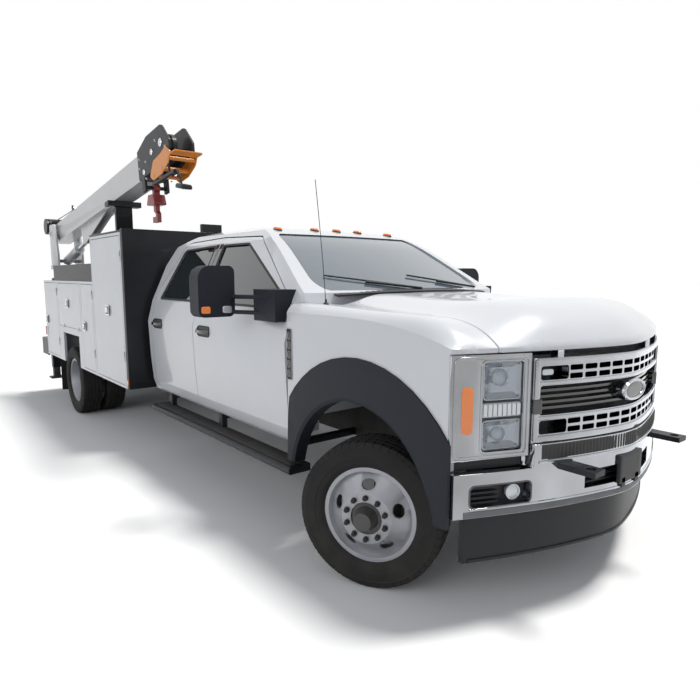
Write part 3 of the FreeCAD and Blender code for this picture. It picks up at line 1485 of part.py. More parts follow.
def make_service_body():
    """Side boxes with their compartments, bulkhead, bed, trays, doors and tailgate."""
    outer = d.body_half_width
    inner = outer - d.body_side_depth
    wall = d.body_wall
    low = box(back(d.body_rear_back), back(d.body_front_back), inner, outer, d.body_bottom, d.body_low_top)
    tall = box(back(d.body_tall_back), back(d.body_front_back), inner, outer, d.body_low_top - d.overrun,
               d.body_tall_top)
    tools = []
    leaf_gap = d.body_door_gap
    for name, (rear, front, bottom, top) in side_doors().items():
        tools.append(box(back(rear), back(front), outer - d.body_door_thickness - d.run_gap * 2,
                         outer + d.overrun,
                         bottom, top))
        tools.append(box(back(rear) + wall / 2, back(front) - wall / 2, inner + wall,
                         outer - d.body_door_thickness,
                         bottom + wall / 2, top - wall / 2))
    arch = box(back(d.body_arch_rear_back), back(d.body_arch_back), inner - d.overrun, outer + d.overrun,
               d.body_bottom - d.overrun, d.body_arch_top)
    under = box(back(d.seam_rear_back) + wall, back(d.seam_mid_back) - wall, inner - d.overrun, outer - wall,
                d.body_bottom - d.overrun, d.body_arch_top)
    pivot = outer + d.door_pivot_out
    sunk = (outer - d.knuckle_sink, pivot)
    step = d.knuckle_length + d.seat_gap
    fixed = []
    for name, (rear, front, bottom, top) in side_doors().items():
        leaf = box(back(rear) + leaf_gap, back(front) - leaf_gap, outer - d.body_door_thickness, outer,
                   bottom + leaf_gap, top - leaf_gap)
        if name == "wheel":
            line = bottom + leaf_gap
            starts = [back(rear) + (rear - front) * share for share in KNUCKLE_SHARES]
            fixed.extend(knuckles("x", (pivot, line), (sunk, (line - d.knuckle_plate, line - d.seat_gap)),
                                  starts))
            turned = knuckles("x", (pivot, line), (sunk, (line, line + d.knuckle_plate)),
                              [start + step for start in starts])
        else:
            line = back(front) - leaf_gap
            starts = [bottom + (top - bottom) * share for share in KNUCKLE_SHARES]
            fixed.extend(knuckles("z", (line, pivot), ((line + d.seat_gap, line + d.knuckle_plate), sunk),
                                  starts))
            turned = knuckles("z", (line, pivot), ((line - d.knuckle_plate, line), sunk),
                              [start + step for start in starts])
        whole = fuse(leaf, *turned)
        node("body_door_%s_left" % name, whole)
        node("body_door_%s_right" % name, mirror(whole))
    side_box = fuse(cut(fuse(low, tall), arch, under, *tools), *fixed)
    node("side_boxes", group(side_box, mirror(side_box)))

    bulkhead = box(back(d.body_front_back) + d.seat_gap, back(d.bulkhead_front_back), -outer, outer,
                   d.body_bottom,
                   d.bulkhead_top)
    notch = box(back(d.body_front_back) - d.overrun, back(d.bulkhead_front_back) + d.overrun,
                -d.rail_half_gap - d.rail_flange - d.overrun, d.rail_half_gap + d.rail_flange + d.overrun,
                d.body_bottom - d.overrun, d.rail_bottom + d.rail_height + d.seat_gap)
    node("bulkhead", cut(bulkhead, notch))
    deck = box(back(d.body_rear_back), back(d.body_front_back), -inner + d.seat_gap, inner - d.seat_gap,
               d.bed_floor_height - d.bed_floor_wall, d.bed_floor_height)
    sills = []
    for side in (-1, 1):
        first = min(d.rail_half_gap * side, (d.rail_half_gap + d.rail_flange) * side)
        second = max(d.rail_half_gap * side, (d.rail_half_gap + d.rail_flange) * side)
        sills.append(box(back(d.body_rear_back), back(d.body_front_back), first, second,
                         d.rail_bottom + d.rail_height + d.seat_gap, d.bed_floor_height - d.bed_floor_wall))
    gate_x = back(d.body_rear_back) - d.door_pivot_out
    gate_z = d.bed_floor_height + leaf_gap
    gate_starts = [(share * 2 - 1) * inner for share in KNUCKLE_SHARES]
    sunk = (gate_x, back(d.body_rear_back) + d.knuckle_sink)
    held = knuckles("y", (gate_x, gate_z), (sunk, (gate_z - d.knuckle_plate, gate_z - d.seat_gap)),
                    gate_starts)
    swung = knuckles("y", (gate_x, gate_z), (sunk, (gate_z, gate_z + d.knuckle_plate)),
                     [start + step for start in gate_starts])
    node("bed_floor", fuse(deck, *(sills + held)))

    def tray(rear, front):
        solid = box(back(rear), back(front), inner, outer, d.body_low_top + d.seat_gap,
                    d.body_low_top + d.tray_height)
        hollow = box(back(rear) + d.tray_wall, back(front) - d.tray_wall, inner + d.tray_wall,
                     outer - d.tray_wall,
                     d.body_low_top + d.tray_wall, d.body_low_top + d.tray_height + d.overrun)
        return cut(solid, hollow)

    tray_front = d.body_tall_back + d.seat_gap
    crane_front = d.crane_back - d.crane_foot_radius - d.overrun * 2
    cap = box(back(d.body_tall_back), back(d.body_front_back), inner, outer, d.body_tall_top + d.seat_gap,
              d.body_tall_top + d.tray_wall)

    place = d.rest_back
    side = -d.crane_side
    half = d.rest_width / 2
    boom_line = d.boom_pivot_height + (d.boom_pivot_back - place) * sine(d.boom_angle) / cosine(d.boom_angle)
    seat = boom_line - d.boom_height / 2 / cosine(d.boom_angle) - d.run_gap
    fall = d.rest_length / 2 * sine(d.boom_angle) / cosine(d.boom_angle)
    base = d.body_tall_top + d.tray_wall + d.seat_gap
    stem = box(back(place) - d.rest_wall, back(place) + d.rest_wall, side - half / 2, side + half / 2, base,
               seat - d.rest_wall)
    pad = prism("xz", [(back(place) - d.rest_length / 2, seat - d.rest_wall * 2),
                       (back(place) + d.rest_length / 2, seat - d.rest_wall * 2),
                       (back(place) + d.rest_length / 2, seat + fall),
                       (back(place) - d.rest_length / 2, seat - fall)],
                side - half, side + half)
    rest = fuse(stem, pad)
    light = box(back(d.body_front_back), back(d.bulkhead_front_back),
                d.lightbox_side * -1 - d.lightbox_width / 2,
                d.lightbox_side * -1 + d.lightbox_width / 2, d.bulkhead_top + d.seat_gap,
                d.bulkhead_top + d.lightbox_height)
    node("top_trays", group(tray(d.body_rear_back, tray_front), mirror(tray(crane_front, tray_front)), cap,
                            mirror(cap),
                            light, rest))
    gate = box(back(d.body_rear_back), back(d.body_rear_back) + d.tailgate_thickness, -inner + leaf_gap,
               inner - leaf_gap,
               d.bed_floor_height + leaf_gap, d.bed_floor_height + d.tailgate_height)
    node("tailgate", fuse(gate, *swung))
    flap = box(back(d.flap_back), back(d.flap_back) + d.flap_thickness, d.flap_inner, d.flap_outer,
               d.flap_bottom,
               d.body_bottom - d.seat_gap)
    node("mud_flaps", group(flap, mirror(flap)))


def make_rear_bumper():
    """Deck bumper with the housings of two drop-down legs and the hitch receiver."""
    top = d.rear_bumper_top
    bottom = top - d.rear_bumper_height
    rear = back(d.rear_reach)
    front = back(d.body_rear_back) - d.seat_gap
    deck = box(rear, front, -d.body_half_width, d.body_half_width, bottom, top)
    inside = box(rear + d.tray_wall, front + d.overrun, -d.body_half_width + d.tray_wall,
                 d.body_half_width - d.tray_wall,
                 bottom - d.overrun, top - d.tray_wall)
    shell = cut(deck, inside)
    middle = back(d.rear_reach) + (d.rear_reach - d.body_rear_back) * 2 / 5
    pieces = []
    holes = []
    for side in (-1, 1):
        half = d.leg_outer / 2
        pieces.append(box(middle - half, middle + half, d.leg_side * side - half, d.leg_side * side + half,
                          bottom - d.leg_outer * 2, top - d.tray_wall))
        bore = half - d.leg_wall
        holes.append(box(middle - bore, middle + bore, d.leg_side * side - bore, d.leg_side * side + bore,
                         bottom - d.leg_outer * 3, top - d.tray_wall))
        leg_half = bore - d.seat_gap
        leg = box(middle - leg_half, middle + leg_half, d.leg_side * side - leg_half,
                  d.leg_side * side + leg_half,
                  d.leg_clear, top - d.tray_wall * 2)
        foot_half = d.leg_foot / 2
        foot = box(middle - foot_half, middle + foot_half, d.leg_side * side - foot_half,
                   d.leg_side * side + foot_half,
                   d.leg_clear, d.leg_clear + d.leg_foot_thickness)
        node("stabilizer_leg_" + ("left" if side == 1 else "right"), fuse(leg, foot))
    half = d.hitch_side / 2
    tube = box(rear, rear + d.hitch_length, -half, half, d.hitch_height - half, d.hitch_height + half)
    hanger = box(rear + d.tray_wall, rear + d.hitch_length, -half * 3, half * 3,
                 d.hitch_height + half - d.leg_wall, top - d.tray_wall)
    bore = d.hitch_bore / 2
    holes.append(box(rear - d.overrun, rear + d.hitch_length + d.overrun, -bore, bore, d.hitch_height - bore,
                     d.hitch_height + bore))
    stays = []
    for side in (-1, 1):
        first = min(d.rail_half_gap * side, (d.rail_half_gap + d.rail_flange) * side)
        second = max(d.rail_half_gap * side, (d.rail_half_gap + d.rail_flange) * side)
        stays.append(box(rear + d.tray_wall, back(d.rail_rear_reach) - d.seat_gap, first, second, bottom,
                         top - d.tray_wall))
    node("rear_bumper", cut(fuse(shell, tube, hanger, *(pieces + stays)), *holes))


def on_boom(thing, along=ZERO, up=ZERO):
    """Carries what is drawn about the boom's pivot to the stowed boom."""
    lean = sine(d.boom_angle)
    level = cosine(d.boom_angle)
    return turn(thing, Y_AXIS, -d.boom_angle, back(d.boom_pivot_back) + along * level - up * lean,
                -d.crane_side,
                d.boom_pivot_height + along * lean + up * level)


def make_crane():
    """Pedestal, turret, telescopic boom with its head, lift cylinder, winch and hook block."""
    centre = back(d.crane_back)
    side = -d.crane_side
    foot_low = d.body_low_top + d.seat_gap
    foot = rod("z", centre, side, foot_low, d.crane_foot_radius, d.crane_foot_thickness, 32)
    post = rod("z", centre, side, foot_low, d.crane_post_radius, d.turret_bottom - foot_low - d.seat_gap, 32)
    node("crane_pedestal", fuse(foot, post))
    floor_top = d.turret_bottom + d.turret_ring
    disc = rod("z", centre, side, d.turret_bottom, d.crane_foot_radius, d.turret_ring, 32)
    half = d.cheek_length / 2
    pivot_x = back(d.boom_pivot_back)
    cheek_points = [
        (centre - half - d.overrun, floor_top - d.cheek_wall), (centre + half, floor_top - d.cheek_wall),
        (centre + half, floor_top + d.cheek_wall * 6), (centre + half / 4, d.cheek_top, d.overrun),
        (centre - half - d.overrun, d.cheek_top, d.overrun),
    ]
    inner = d.cheek_half_gap
    cheeks = [prism("xz", cheek_points, side + inner, side + inner + d.cheek_wall),
              prism("xz", cheek_points, side - inner - d.cheek_wall, side - inner)]
    foot_x = pivot_x + d.cylinder_foot_forward
    foot_z = d.boom_pivot_height - d.cylinder_foot_down
    pins = [rod("y", pivot_x, side - inner - d.cheek_wall * 3 / 2, d.boom_pivot_height, d.boom_pivot_radius,
                (inner + d.cheek_wall * 3 / 2) * 2),
            rod("y", foot_x, side - inner - d.cheek_wall, foot_z, d.boom_pivot_radius * 2 / 3,
                (inner + d.cheek_wall) * 2)]
    node("turret", fuse(disc, *(cheeks + pins)))

    boom_half = d.boom_width / 2
    tall = d.boom_height / 2
    shell = box(-d.boom_tail, d.boom_length, -boom_half, boom_half, -tall, tall)
    bore = box(-d.boom_tail + d.boom_wall * 4 + d.boom_pivot_radius * 2, d.boom_length + d.overrun,
               -boom_half + d.boom_wall,
               boom_half - d.boom_wall, -tall + d.boom_wall, tall - d.boom_wall)
    trunnion = rod("y", ZERO, -inner + d.seat_gap, ZERO, d.boom_pivot_radius * 2, (inner - d.seat_gap) * 2)
    pin_hole = rod("y", ZERO, -inner - d.overrun, ZERO, bore_radius(d.boom_pivot_radius),
                   (inner + d.overrun) * 2)
    eye_up = -d.wedge_drop
    plate_low = eye_up - d.eye_radius
    wedge_points = [
        (d.wedge_forward - d.eye_radius * 3 / 2, -tall + d.boom_wall / 2),
        (d.wedge_forward - d.eye_radius * 3 / 2, plate_low, d.eye_radius / 2),
        (d.wedge_forward + d.eye_radius * 2, plate_low, d.eye_radius / 2),
        (d.wedge_forward + d.wedge_length, -tall + d.boom_wall / 2),
    ]
    plates = [prism("xz", wedge_points, d.wedge_width / 2 - d.boom_wall, d.wedge_width / 2),
              prism("xz", wedge_points, -d.wedge_width / 2, -d.wedge_width / 2 + d.boom_wall)]
    node("boom_main", on_boom(cut(fuse(cut(shell, bore), trunnion, *plates), pin_hole)))

    gap = d.boom_wall + d.boom_clear
    section = box(d.inner_boom_start, d.boom_length + d.run_gap, -boom_half + gap, boom_half - gap,
                  -tall + gap,
                  tall - gap)
    hollow = box(d.inner_boom_start - d.overrun, d.boom_length - d.overrun,
                 -boom_half + gap + d.boom_wall / 2,
                 boom_half - gap - d.boom_wall / 2, -tall + gap + d.boom_wall / 2,
                 tall - gap - d.boom_wall / 2)
    pads = []
    pad_room = gap - d.boom_wall - d.seat_gap
    pad_start = d.inner_boom_start + d.run_gap
    for low, high in ((-boom_half + gap - pad_room, -boom_half + gap + d.knuckle_sink),
                      (boom_half - gap - d.knuckle_sink, boom_half - gap + pad_room)):
        pads.append(box(pad_start, pad_start + d.rest_length, low, high, -boom_half / 2, boom_half / 2))
    for low, high in ((-tall + gap - pad_room, -tall + gap + d.knuckle_sink),
                      (tall - gap - d.knuckle_sink, tall - gap + pad_room)):
        pads.append(box(pad_start, pad_start + d.rest_length, -boom_half / 2, boom_half / 2, low, high))
    node("boom_extension", on_boom(fuse(cut(section, hollow), *pads)))

    head_start = d.boom_length + d.run_gap
    end = head_start + d.head_length
    head_half = d.head_width / 2
    head_points = [
        (head_start, -tall), (head_start, tall + d.overrun / 2),
        (head_start + d.head_length / 3, d.head_height / 2 + d.overrun),
        (end - d.head_length / 5, d.head_height / 2 + d.overrun, d.sheave_radius / 2),
        (end, d.overrun, d.overrun),
        (end, -d.sheave_radius / 3, d.overrun / 2), (end - d.head_length / 4, -tall / 2),
        (head_start + d.head_length / 2, -tall),
    ]
    cheeks = [prism("xz", head_points, -head_half, -head_half + d.head_wall),
              prism("xz", head_points, head_half - d.head_wall, head_half)]
    block = box(head_start, head_start + d.head_length / 5, -head_half, head_half, -tall, tall)
    axle_along = end - d.head_length / 3
    sheave = rod("y", axle_along, -d.sheave_width / 2, d.overrun, d.sheave_radius, d.sheave_width)
    axle = rod("y", axle_along, -head_half, d.overrun, d.boom_pivot_radius / 2, d.head_width)
    hook_pin = rod("y", d.hook_along, -head_half, -tall - d.hook_ear, d.boom_pivot_radius / 2, d.head_width)
    ear_low = -tall - d.hook_ear - d.eye_radius
    ears = []
    for low, high in ((-head_half, -head_half + d.head_wall), (head_half - d.head_wall, head_half)):
        ears.append(box(d.hook_along - d.eye_radius, d.hook_along + d.eye_radius, low, high, ear_low,
                        -tall + d.head_wall))
    node("boom_head", on_boom(fuse(block, sheave, axle, hook_pin, *(cheeks + ears))))

    winch_radius = d.winch_radius
    drum = rod("y", ZERO, -d.winch_length / 2, ZERO, winch_radius, d.winch_length)
    bracket = box(ZERO, d.winch_forward - d.boom_tail - d.seat_gap, -boom_half, boom_half, -winch_radius / 2,
                  winch_radius / 2)
    node("winch", on_boom(fuse(drum, bracket), -d.winch_forward, d.winch_up))

    eye_along = d.wedge_forward * cosine(d.boom_angle) + d.wedge_drop * sine(d.boom_angle)
    eye_height = d.wedge_forward * sine(d.boom_angle) - d.wedge_drop * cosine(d.boom_angle)
    run = eye_along - d.cylinder_foot_forward
    rise = eye_height + d.cylinder_foot_down
    length = math.hypot(run, rise)
    tilt = math.degrees(math.atan2(rise, run))
    eye_half = d.wedge_width / 2 - d.boom_wall - d.run_gap / 2
    barrel = fuse(rod("x", d.eye_radius * 2 / 3, ZERO, ZERO, d.cylinder_radius, d.barrel_length),
                  rod("y", ZERO, -d.eye_radius, ZERO, d.eye_radius, d.eye_radius * 2))
    barrel = cut(barrel, rod("x", d.eye_radius * 2, ZERO, ZERO, d.rod_radius + d.seat_gap, d.barrel_length),
                 rod("y", ZERO, -d.cylinder_radius, ZERO, bore_radius(d.boom_pivot_radius * 2 / 3),
                     d.cylinder_radius * 2))
    turn(barrel, Y_AXIS, Size(-tilt), foot_x, side, foot_z)
    node("lift_barrel", barrel)
    stem_start = d.rod_start
    stem = rod("x", stem_start, ZERO, ZERO, d.rod_radius, Size(length) - stem_start)
    eye = rod("y", Size(length), -eye_half, ZERO, d.eye_radius - d.boom_clear, eye_half * 2)
    node("lift_rod", turn(fuse(stem, eye), Y_AXIS, Size(-tilt), foot_x, side, foot_z))

    lean = sine(d.boom_angle)
    level = cosine(d.boom_angle)
    hook_down = tall + d.hook_ear
    hook_x = pivot_x + d.hook_along * level + hook_down * lean
    hook_z = d.boom_pivot_height + d.hook_along * lean - hook_down * level
    width = d.hook_block_width / 2
    hang = rod("y", ZERO, -width / 2, ZERO, d.eye_radius - d.boom_clear, width)
    hang = cut(hang, rod("y", ZERO, -width, ZERO, bore_radius(d.boom_pivot_radius / 2), width * 2))
    link = box(-d.eye_radius / 2, d.eye_radius / 2, -width / 2, width / 2, -d.eye_radius * 2,
               -d.eye_radius * 3 / 4)
    broad = width * 7 / 4
    drop = d.hook_block_drop
    block = prism("xz", [(-broad, -drop / 2, width / 4), (broad, -drop / 2, width / 4),
                         (width, -d.eye_radius * 3 / 2),
                         (-width, -d.eye_radius * 3 / 2)], -width, width)
    hook_points = [
        (-width / 2, -drop / 2), (width / 2, -drop / 2), (width / 2, -drop * 2 / 3), (width, -drop * 3 / 4),
        (width, -drop), (-width, -drop), (-width, -drop * 5 / 6), (width / 4, -drop * 5 / 6),
        (width / 4, -drop * 3 / 4), (-width / 2, -drop * 2 / 3),
    ]
    hook = prism("xz", hook_points, -width / 3, width / 3)
    node("hook_block", put(fuse(hang, link, block, hook), hook_x, side, hook_z))


make_wheels()
make_front_axle()
make_rear_axle()
make_frame()
make_springs()
make_driveline()
make_cab()
make_cab_inside()
make_front()
make_steps_and_mirrors()
make_service_body()
make_rear_bumper()
make_crane()
doc.recompute()

for thing in doc.Objects:
    if "Invalid" in thing.State or "Error" in thing.State:
        raise RuntimeError("%s was not made: %s" % (thing.Label, thing.State))
for thing in NODES:
    if thing.Shape.isNull() or not thing.Shape.isValid():
        raise RuntimeError("%s has no sound shape" % thing.Label)
os.makedirs("parts", exist_ok=True)
for thing in NODES:
    thing.Shape.exportStep(os.path.join("parts", thing.Label + ".step"))
print(len(NODES), "nodes written")
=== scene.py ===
import json

import bmesh
import bpy
import numpy as np
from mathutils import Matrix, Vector

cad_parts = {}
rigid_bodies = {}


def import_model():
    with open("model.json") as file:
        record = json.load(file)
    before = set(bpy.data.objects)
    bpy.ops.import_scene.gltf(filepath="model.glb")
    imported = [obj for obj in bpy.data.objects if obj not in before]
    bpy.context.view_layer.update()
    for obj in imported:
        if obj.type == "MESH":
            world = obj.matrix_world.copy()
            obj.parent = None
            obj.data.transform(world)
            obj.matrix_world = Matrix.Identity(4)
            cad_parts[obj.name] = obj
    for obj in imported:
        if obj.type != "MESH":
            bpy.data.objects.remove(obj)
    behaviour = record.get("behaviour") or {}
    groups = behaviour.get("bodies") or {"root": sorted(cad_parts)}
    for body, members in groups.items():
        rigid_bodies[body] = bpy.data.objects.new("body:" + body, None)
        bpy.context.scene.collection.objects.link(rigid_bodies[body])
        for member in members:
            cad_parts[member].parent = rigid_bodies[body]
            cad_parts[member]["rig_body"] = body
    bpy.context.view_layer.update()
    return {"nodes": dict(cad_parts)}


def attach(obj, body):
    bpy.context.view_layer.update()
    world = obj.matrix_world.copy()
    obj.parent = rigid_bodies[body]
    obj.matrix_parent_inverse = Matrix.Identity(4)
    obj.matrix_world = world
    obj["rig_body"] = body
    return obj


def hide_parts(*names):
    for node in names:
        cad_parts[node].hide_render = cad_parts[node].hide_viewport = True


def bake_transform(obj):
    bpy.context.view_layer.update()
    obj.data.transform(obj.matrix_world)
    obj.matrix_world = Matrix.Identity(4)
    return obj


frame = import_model()
scene = bpy.context.scene
nodes = frame["nodes"]
tau = 2 * np.pi
sides = (("left", 1), ("right", -1))
print("frame loaded:", len(nodes), "nodes")


def nodeOf(tree, kind, inputs=None, **settings):
    # new node: its settings first, then each input takes a link from a socket, or else a plain value
    node = tree.nodes.new("ShaderNode" + kind)
    for label, value in settings.items():
        setattr(node, label, value)
    for label, value in (inputs or {}).items():
        if isinstance(value, bpy.types.NodeSocket):
            tree.links.new(value, node.inputs[label])
        else:
            node.inputs[label].default_value = value
    return node


def newGroup(name, inputs, outputs):
    # empty node group: inputs by their defaults, where a tuple is a colour, and outputs by their kinds
    group = bpy.data.node_groups.new(name, "ShaderNodeTree")
    for label, value in inputs.items():
        kind = "NodeSocketColor" if isinstance(value, tuple) else "NodeSocketFloat"
        group.interface.new_socket(label, in_out="INPUT", socket_type=kind).default_value = value
    for label, kind in outputs.items():
        group.interface.new_socket(label, in_out="OUTPUT", socket_type="NodeSocket" + kind)
    return group, group.nodes.new("NodeGroupInput").outputs, group.nodes.new("NodeGroupOutput").inputs


def noiseOf(tree, inputs):
    # noise in the object's own metres
    place = nodeOf(tree, "TexCoord").outputs["Object"]
    return nodeOf(tree, "TexNoise", {"Vector": place, **inputs}).outputs["Fac"]


def mathOf(tree, operation, *values):
    # one operation on two or three values, each a number or a socket
    return nodeOf(tree, "Math", dict(enumerate(values)), operation=operation).outputs["Value"]


def mixOf(tree, factor, first, second, blend="MIX"):
    # first colour blended into the second by a factor
    inputs = {"Factor": factor, "A": first, "B": second}
    return nodeOf(tree, "Mix", inputs, data_type="RGBA", blend_type=blend).outputs["Result"]


def grainGroup():
    # roughness is a base plus a spread times a noise; the same noise lifts the bump
    group, given, out = newGroup("fineGrain", {"Scale": 300.0, "Depth": 0.1, "Base": 0.4, "Spread": 0.1},
                                 {"Normal": "Vector", "Roughness": "Float"})
    noise = noiseOf(group, {"Scale": given["Scale"], "Detail": 3.0})
    bump = nodeOf(group, "Bump", {"Height": noise, "Strength": given["Depth"], "Distance": 0.002})
    group.links.new(bump.outputs["Normal"], out["Normal"])
    group.links.new(mathOf(group, "MULTIPLY_ADD", noise, given["Spread"], given["Base"]), out["Roughness"])
    return group


def dustGroup():
    # colour that turns to road dust by an amount times a noise times how low the point lies
    group, given, out = newGroup("roadDust", {"Colour": (0.5, 0.5, 0.5, 1), "Dust": (0.32, 0.29, 0.25, 1),
                                              "Amount": 0.25}, {"Colour": "Color"})
    place = nodeOf(group, "TexCoord").outputs["Object"]
    height = nodeOf(group, "SeparateXYZ", {0: place}).outputs["Z"]
    low = nodeOf(group, "MapRange", {"Value": height, "From Min": 1.1, "From Max": 0.05}).outputs["Result"]
    patch = mathOf(group, "MULTIPLY", low, noiseOf(group, {"Scale": 9.0, "Detail": 6.0}))
    share = mathOf(group, "MULTIPLY", patch, given["Amount"])
    group.links.new(mixOf(group, share, given["Colour"], given["Dust"]), out["Colour"])
    return group


def patchGroup():
    # colour times one plus an amount times a broad noise about nought
    group, given, out = newGroup("faintPatches", {"Colour": (0.5, 0.5, 0.5, 1), "Amount": 0.05},
                                 {"Colour": "Color"})
    centred = mathOf(group, "SUBTRACT", noiseOf(group, {"Scale": 7.0, "Detail": 5.0}), 0.5)
    share = mathOf(group, "MULTIPLY_ADD", centred, given["Amount"], 1.0)
    group.links.new(mixOf(group, 1.0, given["Colour"], share, "MULTIPLY"), out["Colour"])
    return group


grain, dust, patches = grainGroup(), dustGroup(), patchGroup()


def newMaterial(name):
    # material with its node tree and its Principled shader
    made = bpy.data.materials.new(name)
    made.use_nodes = True
    return made, made.node_tree, made.node_tree.nodes["Principled BSDF"]


def grained(tree, shader, scale, depth, base, spread):
    # roughness, and bump where it has a depth, of a shader from the grain group
    inputs = {"Scale": scale, "Depth": depth, "Base": base, "Spread": spread}
    node = nodeOf(tree, "Group", inputs, node_tree=grain)
    tree.links.new(node.outputs["Roughness"], shader.inputs["Roughness"])
    if depth:
        tree.links.new(node.outputs["Normal"], shader.inputs["Normal"])


def finishOf(name, colour, roughness, metallic=0.0, coat=0.0, scale=300.0, depth=0.0, spread=0.0, dusty=0.0,
             shade=0.3, **more):
    # bump and roughness from the grain group, faint patches in the colour, low parts tinted with dust
    made, tree, shader = newMaterial(name)
    more.update({"Roughness": roughness, "Metallic": metallic, "Coat_Weight": coat, "Coat_Roughness": 0.04})
    for label, value in more.items():
        shader.inputs[label.replace("_", " ")].default_value = value
    shader.inputs["Base Color"].default_value = tint = (*colour, 1.0)
    if depth or spread:
        grained(tree, shader, scale, depth, roughness - spread / 2, spread)
    for group, amount in ((patches, shade), (dust, dusty)):
        if amount:
            tint = nodeOf(tree, "Group", {"Colour": tint, "Amount": amount}, node_tree=group).outputs["Colour"]
            tree.links.new(tint, shader.inputs["Base Color"])
    return made


def windowFinish(name, tint, clearness, deepAndSheen):
    # thin tinted window: a clear part and a mirror-like part, shared out by the angle of view
    made, tree, shader = newMaterial(name)
    # base colour: the glass's own deep colour, but on the windscreen a painted pale sky reflection
    for label, value in {"Base Color": (*deepAndSheen, 1.0), "Coat Weight": 1.0, "IOR": 1.9}.items():
        shader.inputs[label].default_value = value
    grained(tree, shader, 6.0, 0.0, 0.02, 0.04)
    clear = nodeOf(tree, "BsdfTransparent", {"Color": (*tint, 1.0)}).outputs["BSDF"]
    slant = nodeOf(tree, "LayerWeight", {"Blend": 0.35}).outputs["Facing"]
    share = nodeOf(tree, "MapRange", {"Value": slant, "To Min": 1.0 - clearness, "To Max": 1.0})
    mix = nodeOf(tree, "MixShader", {"Fac": share.outputs["Result"], 1: clear, 2: shader.outputs["BSDF"]})
    tree.links.new(mix.outputs["Shader"], tree.nodes["Material Output"].inputs["Surface"])
    return made


def paintedReflectionTint(made, reflectionFaceOn, reflectionLowAngle):
    # painted reflection: base colour that goes from one value seen straight on to another at a low angle, in
    # faint broad patches, standing in for what the metal reflects
    tree = made.node_tree
    slant = nodeOf(tree, "LayerWeight", {"Blend": 0.30}).outputs["Facing"]
    share = mathOf(tree, "MULTIPLY_ADD", noiseOf(tree, {"Scale": 3.0}), 0.35, slant)
    colour = mixOf(tree, share, (*reflectionFaceOn, 1.0), (*reflectionLowAngle, 1.0))
    tree.links.new(colour, tree.nodes["Principled BSDF"].inputs["Base Color"])


